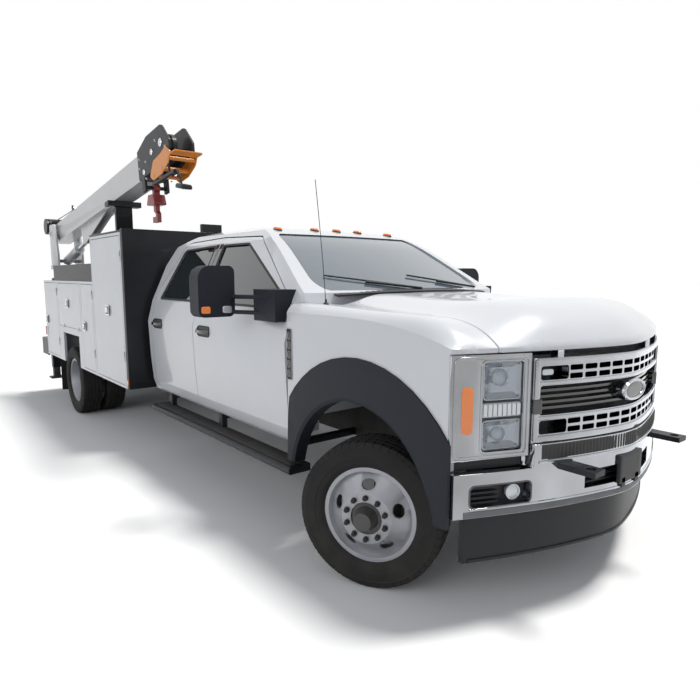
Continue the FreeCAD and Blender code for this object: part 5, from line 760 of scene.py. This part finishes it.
# rings there: outline, width, thickness, curve, finish
noseRings = {"lamp_bezel": ((0.656, 0.872, 0.856, 1.292, 0.030), 0.010, 0.003, "lamp", "chrome"),
             "lamp_frame": ((0.637, 0.992, 0.838, 1.309, 0.030), 0.013, 0.007, "lamp", "chrome"),
             "fog_bezel": ((0.628, 0.932, 0.607, 0.721, 0.028), 0.008, 0.003, "bumper", "gloss")}
lamp = {"dishes": [(0.672, 0.856, 0.872, 1.012, 0.018), (0.672, 0.856, 1.104, 1.284, 0.018)],
        "dish": [(0.0, -0.036), (0.0, -0.010), (0.005, -0.009), (0.010, -0.014), (0.032, -0.030)],
        "across": 0.770, "aim": 0.765, "back": 0.034, "projectors": ((1.205, 0.040), (0.940, 0.034)),
        "ribs": [(low, low + 0.018, 1.030, 1.086, 0.004) for low in np.arange(0.674, 0.84, 0.0226)]}
fog = {"middle": (0.715, 0.664), "aim": 0.70, "louvres": (0.622, 0.646, 0.670, 0.694),
       "profile": [(0, -0.048), (0.034, -0.048), (0.038, -0.030), (0.038, -0.024), (0.034, -0.023),
                   (0.032, -0.030), (0.022, -0.026), (0, -0.022)]}
for sideName, side in sides:
    place = onNose(nose["lamp"], side)
    pieceOf("lamp_dishes_" + sideName, [padGrid(rectangle(*dish), lamp["dish"], place, (0.6, 0.0))
                                        for dish in lamp["dishes"]], "reflector", chassis)
    ahead, across = noseAhead(lamp["aim"], side), lamp["across"]
    pieceOf("lamp_projectors_" + sideName, [
        turnedGrid([(0, -0.002), (radius, 0.0), (radius, 0.016), (radius * 0.92, 0.019), (radius * 0.84, 0.016),
                    (radius * 0.6, 0.022), (radius * 0.3, 0.025), (0, 0.026)],
                   np.array([noseAt(across, nose["lamp"]), side * across, height]) - ahead * lamp["back"],
                   ahead, 40)
        for height, radius in lamp["projectors"]], "clearCap", chassis)
    plate("lamp_ribs_" + sideName, [rectangle(*row) for row in lamp["ribs"]], 0.006,
          onNose(nose["lamp"] - 0.010, side), "clearCap", chassis, 0.004)
    for name, (outline, thick, part, back, finish, *more) in nosePlates.items():
        plate(name + "_" + sideName, rectangle(*outline), thick, onNose(nose[part] - back, side), finish,
              chassis, *more)
    for name, (outline, wide, thick, part, finish) in noseRings.items():
        ring(name + "_" + sideName, rectangle(*outline), wide, thick, onNose(nose[part], side), finish, chassis)
    turned("fog_lamp_" + sideName, fog["profile"], (noseAt(fog["aim"], nose["bumper"]), side * fog["middle"][0],
                                                    fog["middle"][1]), noseAhead(fog["aim"], side), "clearCap",
           chassis, 40)
    place = onNose(nose["bumper"] - 0.030, side)
    pieceOf("fog_louvres_" + sideName, [
        padGrid(rectangle(0.775, 0.925, low, low + 0.012, 0.004), plateLevels(0.010), place, (0.5, 0.0))
        for low in fog["louvres"]], "trimPlastic", chassis)

# bars that follow the nose: half width, lower and upper edge, depth, curve, how far ahead of it, finish
noseBars = {
    "grille_backing": (0.600, 0.905, 1.275, 0.004, "grille", -0.098, "radiator"),
    "bumper_backing": (0.345, 0.622, 0.738, 0.004, "bumper", -0.060, "trimPlastic"),
    "bumper_valance": (0.955, 0.567, 0.598, 0.010, "bumper", 0.003, "greyPlastic"),
    "bumper_louvre_0": (0.336, 0.646, 0.658, 0.020, "bumper", -0.028, "trimPlastic"),
    "bumper_louvre_1": (0.336, 0.674, 0.686, 0.020, "bumper", -0.028, "trimPlastic"),
    "bumper_louvre_2": (0.336, 0.702, 0.714, 0.020, "bumper", -0.028, "trimPlastic"),
    "bumper_lower_roll": (0.930, 0.599, 0.611, 0.012, "bumper", 0.005, "chrome"),
    "bumper_upper_roll": (0.600, 0.792, 0.806, 0.012, "bumper", 0.006, "chrome"),
    "dam_lip": (0.880, 0.318, 0.336, 0.016, "bumper", -0.059, "trimPlastic"),
    "grille_bar_top": (0.616, 1.264, 1.288, 0.012, "grille", 0.010, "chrome"),
    "grille_bar_upper": (0.616, 1.164, 1.182, 0.012, "grille", 0.007, "chrome"),
    "grille_bar_lower": (0.616, 0.998, 1.016, 0.012, "grille", 0.007, "chrome"),
    "grille_bar_bottom": (0.616, 0.892, 0.922, 0.012, "grille", 0.010, "chrome"),
}
for name, (half, low, high, depth, part, proud, finish) in noseBars.items():
    across = np.linspace(-half, half, 61)[:, None]
    profile = roundedOutline([(-depth, low), (0, low), (0, high), (-depth, high)],
                             min(depth, high - low) * 0.3, 4)
    grid = onNose(nose[part] + proud)(across + 0 * profile[:, 0], profile[:, 1] + 0 * across,
                                      profile[:, 0] + 0 * across)
    pieceOf(name, capped(grid), finish, chassis, 40)
stepRim = [(0.812, 0.0), (0.812, 0.5), (0.818, 1.0), (0.8465, 1.0), (0.875, 1.0), (0.881, 0.5), (0.881, 0.0)]
ribbed("bumper_step_front", (-0.585, 0.585), stepRim, 56, 0.0030, onNose(nose["bumper"]), chassis, 1.0, 0.012)


def bumperTop(along, across, out):
    # lies on the bumper's raised middle: first value across, second back from its front
    return np.stack([noseAt(along, nose["bumper"]) - across, along, 0.886 + out], -1)


ribbed("bumper_pad", (-0.60, 0.60), rimOf(0.006, 0.062), 40, 0.0035, bumperTop, chassis)
plate("plate_bracket", [rectangle(-0.115, 0.115, 0.622, 0.770, 0.012),
                        rectangle(-0.090, -0.050, 0.600, 0.650, 0.008),
                        rectangle(0.050, 0.090, 0.600, 0.650, 0.008)], 0.006, facing(3.861, 1), "trimPlastic",
      chassis, 0.012)
# bare oval badge: a wide bright rim that bulges, with a plain grey middle
badge = {"x": 3.8515, "height": 1.096, "rim": [(0.0, -0.006), (0.0, 0.006), (0.004, 0.013), (0.011, 0.015),
                                               (0.016, 0.011), (0.018, 0.006), (0.018, -0.006)],
         "middle": [(0.016, -0.004), (0.016, 0.005), (0.026, 0.008)]}
oval = circle(1.0, 56) * (0.112, 0.056) + (0, badge["height"])
place = facing(badge["x"], 1)
pieceOf("badge_rim", placed(levelRows(oval, badge["rim"]), place), "chrome", chassis, closeRows=True)
pieceOf("badge_middle", padGrid(oval, badge["middle"], place, (0.7, 0.4, 0.0)), "badgeGrey", chassis)
print("front details made")

screen = {"front": 2.2824, "lean": 1.885, "bow": 0.170, "foot": 1.6}
# wipers: start of the blade and its end, each as a place across and a height
wipers = {"left": ((0.56, 1.567), (0.03, 1.585)), "right": ((-0.10, 1.567), (-0.66, 1.585))}
blade = {"radius": 0.006, "out": 0.012, "start": 0.018, "rise": 0.055}
arm = {"radius": 0.008, "out": 0.020, "fall": 0.006, "reach": 0.55, "shift": 0.10, "drop": 0.004,
       "rise": 0.050}
cowl = {"half": 0.72, "foot": 1.574, "gap": 0.006, "front": 2.428, "height": 1.580, "fall": 0.014, "bow": 0.04,
        "slat": 0.0012, "thick": 0.010}
roofLamp = {"places": (-0.56, -0.22, 0.0, 0.22, 0.56), "height": 2.0215, "bow": 0.0325, "slope": 0.13,
            "base": [(0.0, -0.012), (0.0, 0.004), (0.002, 0.006)],
            "lens": [(0.003, 0.004), (0.004, 0.012), (0.008, 0.018), (0.013, 0.020)]}
antenna = {"foot": (2.386, -0.85, 1.487), "tall": 0.75, "radius": 0.0022,
           "base": [(0, -0.01), (0.020, -0.01), (0.018, 0.012), (0.008, 0.020), (0.005, 0.040), (0, 0.042)]}


def glassAt(across, up):
    # outer face of the windscreen: a plane that leans back, bowed by the square of the place across
    return screen["front"] - (up - screen["foot"]) * screen["lean"] - screen["bow"] * across ** 2


def onScreen(across, up, out):
    # place on the windscreen, lifted along its normal
    return np.stack([glassAt(across, up) + out * 0.469, across, up + out * 0.883], -1)


share = np.linspace(0, 1, 25)
for sideName, ((startY, startZ), (endY, endZ)) in wipers.items():
    path = onScreen(startY + (endY - startY) * share,
                    startZ + blade["start"] + (endZ - startZ + blade["rise"]) * share, blade["out"])
    rodPiece("wiper_blade_" + sideName, path, blade["radius"], "trimPlastic", chassis, 8)
    path = onScreen(startY + (endY - startY) * arm["reach"] * share + arm["shift"] * (1 - share),
                    startZ - arm["drop"] + arm["rise"] * share, arm["out"] - arm["fall"] * share)
    rodPiece("wiper_arm_" + sideName, path, arm["radius"], "trimPlastic", chassis, 8)
# cowl: from the windscreen's foot to the hood, with slats that rise and fall from place to place
across, back = np.linspace(-cowl["half"], cowl["half"], 61)[:, None], np.linspace(0, 1, 9)
slats = cowl["slat"] * np.cos(np.arange(61) * np.pi)[:, None] * np.sin(np.pi * back)
along = ((glassAt(across, cowl["foot"]) + cowl["gap"]) * (1 - back)
         + (cowl["front"] - screen["bow"] * across ** 2) * back)
height = cowl["height"] - cowl["fall"] * back - cowl["bow"] * across ** 2 + slats
top = np.stack([along, across + 0 * back, height], -1)
under = top[:, ::-1] - np.array([0, 0, cowl["thick"]])
pieceOf("cowl", capped(np.concatenate([top, under], axis=1)), "trimPlastic", chassis)
for number, y in enumerate(roofLamp["places"]):
    height = roofLamp["height"] - roofLamp["bow"] * y ** 2 + roofLamp["slope"] * 1.375
    outline = rectangle(1.345, 1.435, y - 0.022, y + 0.022, 0.020)
    place = level(0, height, (1, 0), (0, 1), -roofLamp["slope"])
    pieceOf("roof_lamp_base_%d" % number, padGrid(outline, roofLamp["base"], place), "trimPlastic", chassis)
    pieceOf("roof_lamp_%d" % number, padGrid(outline, roofLamp["lens"], place), "amberLens", chassis)
x, y, z = antenna["foot"]
rodPiece("antenna", np.stack([x - 0.001 - 0.10 * share ** 1.2, y + 0 * share, z + antenna["tall"] * share], -1),
         antenna["radius"], "trimPlastic", chassis, 8, (0, 1, 0))
turned("antenna_base", antenna["base"], antenna["foot"], (0, 0, 1), "trimPlastic", chassis, 24)
print("cab details made")

paddles = {"tall": (-0.770, 1.325), "mid": (-1.650, 1.105), "wheel": (-2.365, 1.330), "rear": (-3.480, 1.080)}
lever = [(0.002, 0.000), (0.0, 0.005), (0.0, 0.008), (0.003, 0.010)]
paddleLock = [(0, 0.008), (0.008, 0.008), (0.008, 0.012), (0.006, 0.013), (0, 0.013)]
tailLamps = [(1.020, 1.140, "redLens"), (0.905, 1.005, "amberLens"), (0.830, 0.890, "clearCap")]
for sideName, side in sides:
    outside, behind = beside(1.2, side), facing(-3.585, -1, side)
    for row, (x, z) in paddles.items():
        body, name = bodyOf("body_door_%s_%s" % (row, sideName)), "paddle_%s_%s" % (row, sideName)
        ring(name + "_frame", around(x, z, 0.058, 0.050, 0.012), 0.014, 0.005, outside, "polished", body)
        plate(name + "_cup", around(x, z, 0.048, 0.040, 0.008), 0.0015, outside, "handleCup", body)
        pieceOf(name + "_lever", padGrid(around(x, z + 0.003, 0.036, 0.027, 0.014), lever, outside),
                "polished", body)
        turned(name + "_lock", paddleLock, (x, side * 1.2, z - 0.005), (0, side, 0), "steelRod", body, 20)
    plate("side_markers_" + sideName, rectangle(-0.297, -0.260, 0.640, 0.690, 0.006), 0.009, beside(1.19, side),
          "amberLens", chassis)
    plate("side_reds_" + sideName, rectangle(-3.578, -3.560, 0.86, 0.98, 0.006), 0.008, outside, "redLens",
          chassis)
    for number, (low, high, finish) in enumerate(tailLamps):
        plate("tail_lamp_%s_%d" % (sideName, number), rectangle(0.985, 1.125, low, high, 0.018), 0.016, behind,
              finish, chassis, edge=0.005)
    ring("tail_bezel_" + sideName, rectangle(0.970, 1.140, 0.815, 1.155, 0.022), 0.012, 0.008, behind,
         "trimPlastic", chassis)
gate, place = bodyOf("tailgate"), facing(-3.5955, -1)
ring("gate_handle_frame", around(0, 1.34, 0.10, 0.04, 0.014), 0.014, 0.005, place, "polished", gate)
plate("gate_handle", around(0, 1.34, 0.075, 0.022, 0.012), 0.010, place, "trimPlastic", gate, edge=0.004)
ribbed("rear_step_pad", (-0.95, 0.95), rimOf(0.03, 0.29), 60, 0.003,
       level(-3.60, 0.800, (0, 1), (-1, 0)), chassis)
print("body details made")

# crane: it stands on the right side and its boom points forward
crane = {"y": -0.940, "slope": 0.1228, "foot": (-3.3, 2.3462), "winch": (-3.654, 2.3245), "guide": -2.635,
         "ropeEnd": 0.085, "ropeTop": 2.84, "ropeRadius": 0.0055, "lift": 0.075}
drum = {"half": 0.098, "radius": 0.078, "rise": 0.004, "pitch": 0.008, "wound": 0.096}
flange = [(0.060, 0.118), (0.100, 0.118), (0.104, 0.122), (0.104, 0.128), (0.098, 0.131), (0.060, 0.131),
          (0.052, 0.136), (0, 0.138), (0, 0.118)]
roller = [(0, -0.058), (0.022, -0.058), (0.022, -0.050), (0.013, -0.040), (0.013, 0.040), (0.022, 0.050),
          (0.022, 0.058), (0, 0.058)]
boom, extension = bodyOf("boom_main"), bodyOf("boom_extension")
lift = np.arctan(crane["slope"])
boomAhead, boomUp = np.array([np.cos(lift), 0, np.sin(lift)]), np.array([-np.sin(lift), 0, np.cos(lift)])
winchMiddle = np.array([crane["winch"][0], crane["y"], crane["winch"][1]])


def ropeAt(x):
    # point of the rope over the boom, whose top is a straight line along it
    return np.array([x, crane["y"], crane["foot"][1] + crane["slope"] * (x - crane["foot"][0]) + crane["lift"]])


guide, ropeEnd = ropeAt(crane["guide"]), ropeAt(crane["ropeEnd"])
ropeEnd[2] = min(ropeEnd[2], crane["ropeTop"])
ropeFrom = winchMiddle + np.array([0.0, 0.0, 0.107])
ropeLine = np.concatenate([ropeFrom + (guide - ropeFrom) * np.linspace(0, 1, 12)[:, None],
                           guide + (ropeEnd - guide) * np.linspace(0, 1, 60)[1:, None]])
rope = rodPiece("winch_rope", ropeLine, crane["ropeRadius"], "ropeSteel", None, 10, smooth=60)
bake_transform(rope)
turned("winch_flange_near", flange, winchMiddle, (0, -1, 0), "blackPaint", boom, 48)
cheekAround = roundedOutline([(-0.030, -0.075), (0.030, -0.075), (0.030, 0.018), (-0.030, 0.018)], 0.010, 4)
cheekLevels = [(0.0, -0.004), (0.0, 0.004)]
for number, offset in enumerate((-0.062, 0.062)):
    place = plane(guide + np.array([0, offset, 0]), boomAhead, boomUp, (0, 1, 0))
    pieceOf("guide_cheek_%d" % number, padGrid(cheekAround, cheekLevels, place), "blackPaint", boom)
turned("guide_roller", roller, guide - boomUp * 0.019, (0, 1, 0), "steelRod", boom)
# rope wound on the drum: radius rises and falls once for every turn of rope
across = np.linspace(-drum["half"], drum["half"], 225)
wound = np.abs(np.sin(across / drum["pitch"] * np.pi)) * (np.abs(across) < drum["wound"])
rows = np.stack([drum["radius"] + drum["rise"] * wound, across], axis=1)
rows = np.concatenate([[(0.0, -drum["half"])], rows, [(0.0, drum["half"])]])
pieceOf("rope_drum", turnedGrid(rows, winchMiddle, (0, 1, 0), 40), "ropeSteel", boom, 60)

# boom head: pins as place along, height and radius; bolts as place along and height
head = {"face": 0.1095, "pins": ((0.400, 2.745, 0.034), (0.200, 2.700, 0.026), (0.010, 2.560, 0.024)),
        "bolts": ((-0.090, 2.600), (-0.090, 2.680), (0.060, 2.640), (0.060, 2.500), (0.290, 2.780),
                  (0.500, 2.700)),
        "bolt": [(0, -0.002), (0.012, -0.002), (0.012, 0.002), (0.009, 0.003), (0.009, 0.009), (0.007, 0.010),
                 (0, 0.010)]}
for sideName, side in sides:
    face = crane["y"] + side * head["face"]
    pieceOf("head_pins_" + sideName, [
        turnedGrid([(0, -0.004), (radius, -0.004), (radius, 0.006), (radius * 0.85, 0.010),
                    (radius * 0.45, 0.010), (radius * 0.4, 0.006), (0, 0.006)], (x, face, z), (0, side, 0), 36)
        for x, z, radius in head["pins"]], "steelRod", extension)
    pieceOf("head_bolts_" + sideName, [turnedGrid(head["bolt"], (x, face, z), (0, side, 0), 6)
                                       for x, z in head["bolts"]], "polished", extension, 30)
# orange bracket under the head: two cheeks, three cross tubes and a step in front
bracket = {"cheek": [(0.160, 2.500), (0.235, 2.462), (0.420, 2.492), (0.560, 2.560), (0.610, 2.640),
                     (0.520, 2.700), (0.400, 2.655), (0.240, 2.620)],
           "radii": [0.02, 0.03, 0.04, 0.03, 0.02, 0.02, 0.03, 0.03],
           "out": 0.1142, "tubes": ((0.240, 2.500, 0.016), (0.420, 2.535, 0.020), (0.560, 2.600, 0.016)),
           "step": [(0.0, -0.006), (0.0, 0.004), (0.002, 0.006)]}
cheek = roundedOutline(bracket["cheek"], bracket["radii"], 5)
pieceOf("bracket_cheeks", [padGrid(cheek, cheekLevels, beside(crane["y"] + offset, 1))
                           for offset in (-bracket["out"], bracket["out"])], "safetyOrange", extension)
for number, (x, z, radius) in enumerate(bracket["tubes"]):
    tube = [(0, -0.122), (radius, -0.122), (radius + 0.008, -0.118), (radius, -0.110), (radius, 0.110),
            (radius + 0.008, 0.118), (radius, 0.122), (0, 0.122)]
    turned("bracket_tube_%d" % number, tube, (x, crane["y"], z), (0, 1, 0), "safetyOrange", extension, 28)
pieceOf("bracket_step", padGrid(rectangle(0.590, 0.700, -0.1185, 0.1185, 0.012), bracket["step"],
                                plane((0, crane["y"], 2.568), (1, 0, 0.10), (0, 1, 0), (0, 0, 1))),
        "safetyOrange", extension)
# lamp arm below it: a black bar on hangers, a bent arm and a flat work lamp that looks down
workLamp = {"y": crane["y"] - 0.100, "bar": [(0.200, 2.440), (0.340, 2.452), (0.520, 2.475), (0.660, 2.486)],
            "arm": [(0.650, 2.483), (0.720, 2.470), (0.755, 2.415), (0.775, 2.360)],
            "hangers": ((0.260, 2.440, 2.505), (0.420, 2.458, 2.530), (0.545, 2.474, 2.585)),
            "case": [(0.010, -0.022), (0.002, -0.012), (0.0, 0.0), (0.0, 0.010), (0.002, 0.012)],
            "lens": [(0.0, 0.008), (0.0, 0.014), (0.003, 0.016)]}
y = workLamp["y"]
rodPiece("lamp_bar", [(x, y, z) for x, z in workLamp["bar"]], 0.017, "blackPaint", extension, 14)
rodPiece("lamp_arm", curve([(x, y, z) for x, z in workLamp["arm"]], 20), 0.008, "blackPaint", extension,
         upward=(0, 1, 0))
for number, (x, low, high) in enumerate(workLamp["hangers"]):
    path = [(x, y, low), (x, y - 0.004, (low + high) / 2), (x, y - 0.010, high)]
    rodPiece("bar_hanger_%d" % number, path, 0.009, "blackPaint", extension, upward=(0, 1, 0))
place = plane((0.810, y, 2.345), (1, 0, -0.20), (0, 1, 0), (-0.20, 0, -0.98))
pieceOf("work_lamp", padGrid(around(0, 0, 0.065, 0.045, 0.014), workLamp["case"], place), "blackPaint",
        extension)
pieceOf("work_lamp_lens", padGrid(around(0, 0, 0.055, 0.036, 0.010), workLamp["lens"], place), "clearCap",
        extension)
print("crane details made")


def lightPathMix(tree, seen, other):
    # camera, mirror and see-through rays get one shader, the light that falls on the truck another
    path = nodeOf(tree, "LightPath").outputs
    first = mathOf(tree, "MAXIMUM", path["Is Camera Ray"], path["Is Glossy Ray"])
    both = mathOf(tree, "MAXIMUM", first, path["Is Transmission Ray"])
    return nodeOf(tree, "MixShader", {"Fac": both, 1: other, 2: seen}).outputs["Shader"]


stage = {"sky": [(0.0, 0.10), (0.48, 0.16), (0.52, 0.50), (0.60, 0.60), (0.80, 0.46), (1.0, 0.40)],
         "tint": (0.97, 1.0, 1.05), "strength": 0.72, "floor": 60, "grey": 0.42}


def makeWorld():
    # white where it is seen; for lighting, a pale sky over a dim ground
    world = bpy.data.worlds.new("sky")
    scene.world = world
    world.use_nodes = True
    tree = world.node_tree
    tree.nodes.clear()
    place = nodeOf(tree, "TexCoord").outputs["Generated"]
    height = nodeOf(tree, "SeparateXYZ", {0: place}).outputs["Z"]
    share = nodeOf(tree, "MapRange", {"Value": height, "From Min": -1.0}).outputs["Result"]
    ramp = nodeOf(tree, "ValToRGB", {"Fac": share})
    while len(ramp.color_ramp.elements) < len(stage["sky"]):
        ramp.color_ramp.elements.new(0.5)
    for element, (position, bright) in zip(ramp.color_ramp.elements, stage["sky"]):
        element.position = position
        element.color = (*(bright * tint for tint in stage["tint"]), 1)
    sky = nodeOf(tree, "Background", {"Color": ramp.outputs["Color"], "Strength": stage["strength"]})
    white = nodeOf(tree, "Background", {"Color": (1, 1, 1, 1)})
    surface = lightPathMix(tree, white.outputs["Background"], sky.outputs["Background"])
    nodeOf(tree, "OutputWorld", {"Surface": surface})


def makeFloor():
    # wide floor, white where it is seen and mid grey to the light it throws back; it keeps the truck's shadow
    far = stage["floor"]
    data = bpy.data.meshes.new("floor")
    data.from_pydata([(-far, -far, 0), (far, -far, 0), (far, far, 0), (-far, far, 0)], [], [(0, 1, 2, 3)])
    floor = bpy.data.objects.new("floor", data)
    scene.collection.objects.link(floor)
    made, tree, shader = newMaterial("floorWhite")
    tree.nodes.clear()
    seen = nodeOf(tree, "BsdfDiffuse", {"Color": (1, 1, 1, 1)}).outputs["BSDF"]
    grey = nodeOf(tree, "BsdfDiffuse", {"Color": (*[stage["grey"]] * 3, 1)}).outputs["BSDF"]
    nodeOf(tree, "OutputMaterial", {"Surface": lightPathMix(tree, seen, grey)})
    data.materials.append(made)


def makeLight(name, kind, place, aim, energy, colour, **settings):
    # a lamp that looks from its place at its aim
    data = bpy.data.lights.new(name, kind)
    data.energy, data.color = energy, colour
    for label, value in settings.items():
        setattr(data, label, value)
    made = bpy.data.objects.new(name, data)
    made.location = place
    made.rotation_euler = (Vector(aim) - Vector(place)).to_track_quat("-Z", "Y").to_euler()
    scene.collection.objects.link(made)


def makeCamera():
    # the photo's own view: focal length and centre in pixels of a square frame
    view = {"place": (5.185, -2.93, 1.67), "yaw": 141.0, "pitch": -7.6, "focal": 577.0, "frame": 700.0,
            "centre": (350.0, 352.0)}
    data = bpy.data.cameras.new("camera")
    data.sensor_width = 36.0
    data.lens = view["focal"] / view["frame"] * data.sensor_width
    data.shift_x = (view["frame"] / 2 - view["centre"][0]) / view["frame"]
    data.shift_y = (view["centre"][1] - view["frame"] / 2) / view["frame"]
    data.clip_start, data.clip_end = 0.05, 300.0
    made = bpy.data.objects.new("camera", data)
    yaw, pitch = np.radians(view["yaw"]), np.radians(view["pitch"])
    ahead = Vector((np.cos(yaw) * np.cos(pitch), np.sin(yaw) * np.cos(pitch), np.sin(pitch)))
    made.rotation_mode = "QUATERNION"
    made.location = view["place"]
    made.rotation_quaternion = ahead.to_track_quat("-Z", "Y")
    scene.collection.objects.link(made)
    scene.camera = made


makeWorld()
makeFloor()
makeLight("sun", "SUN", (3, 5, 16), (0, 0, 0), 2.6, (1.0, 0.985, 0.96), angle=np.radians(14))
makeLight("sideFill", "AREA", (3.0, -9.0, 4.2), (0.5, 0, 1.1), 230, (0.96, 0.98, 1.0), shape="RECTANGLE",
          size=10, size_y=4)
makeCamera()
scene.view_settings.view_transform = "Standard"
print("stage made")
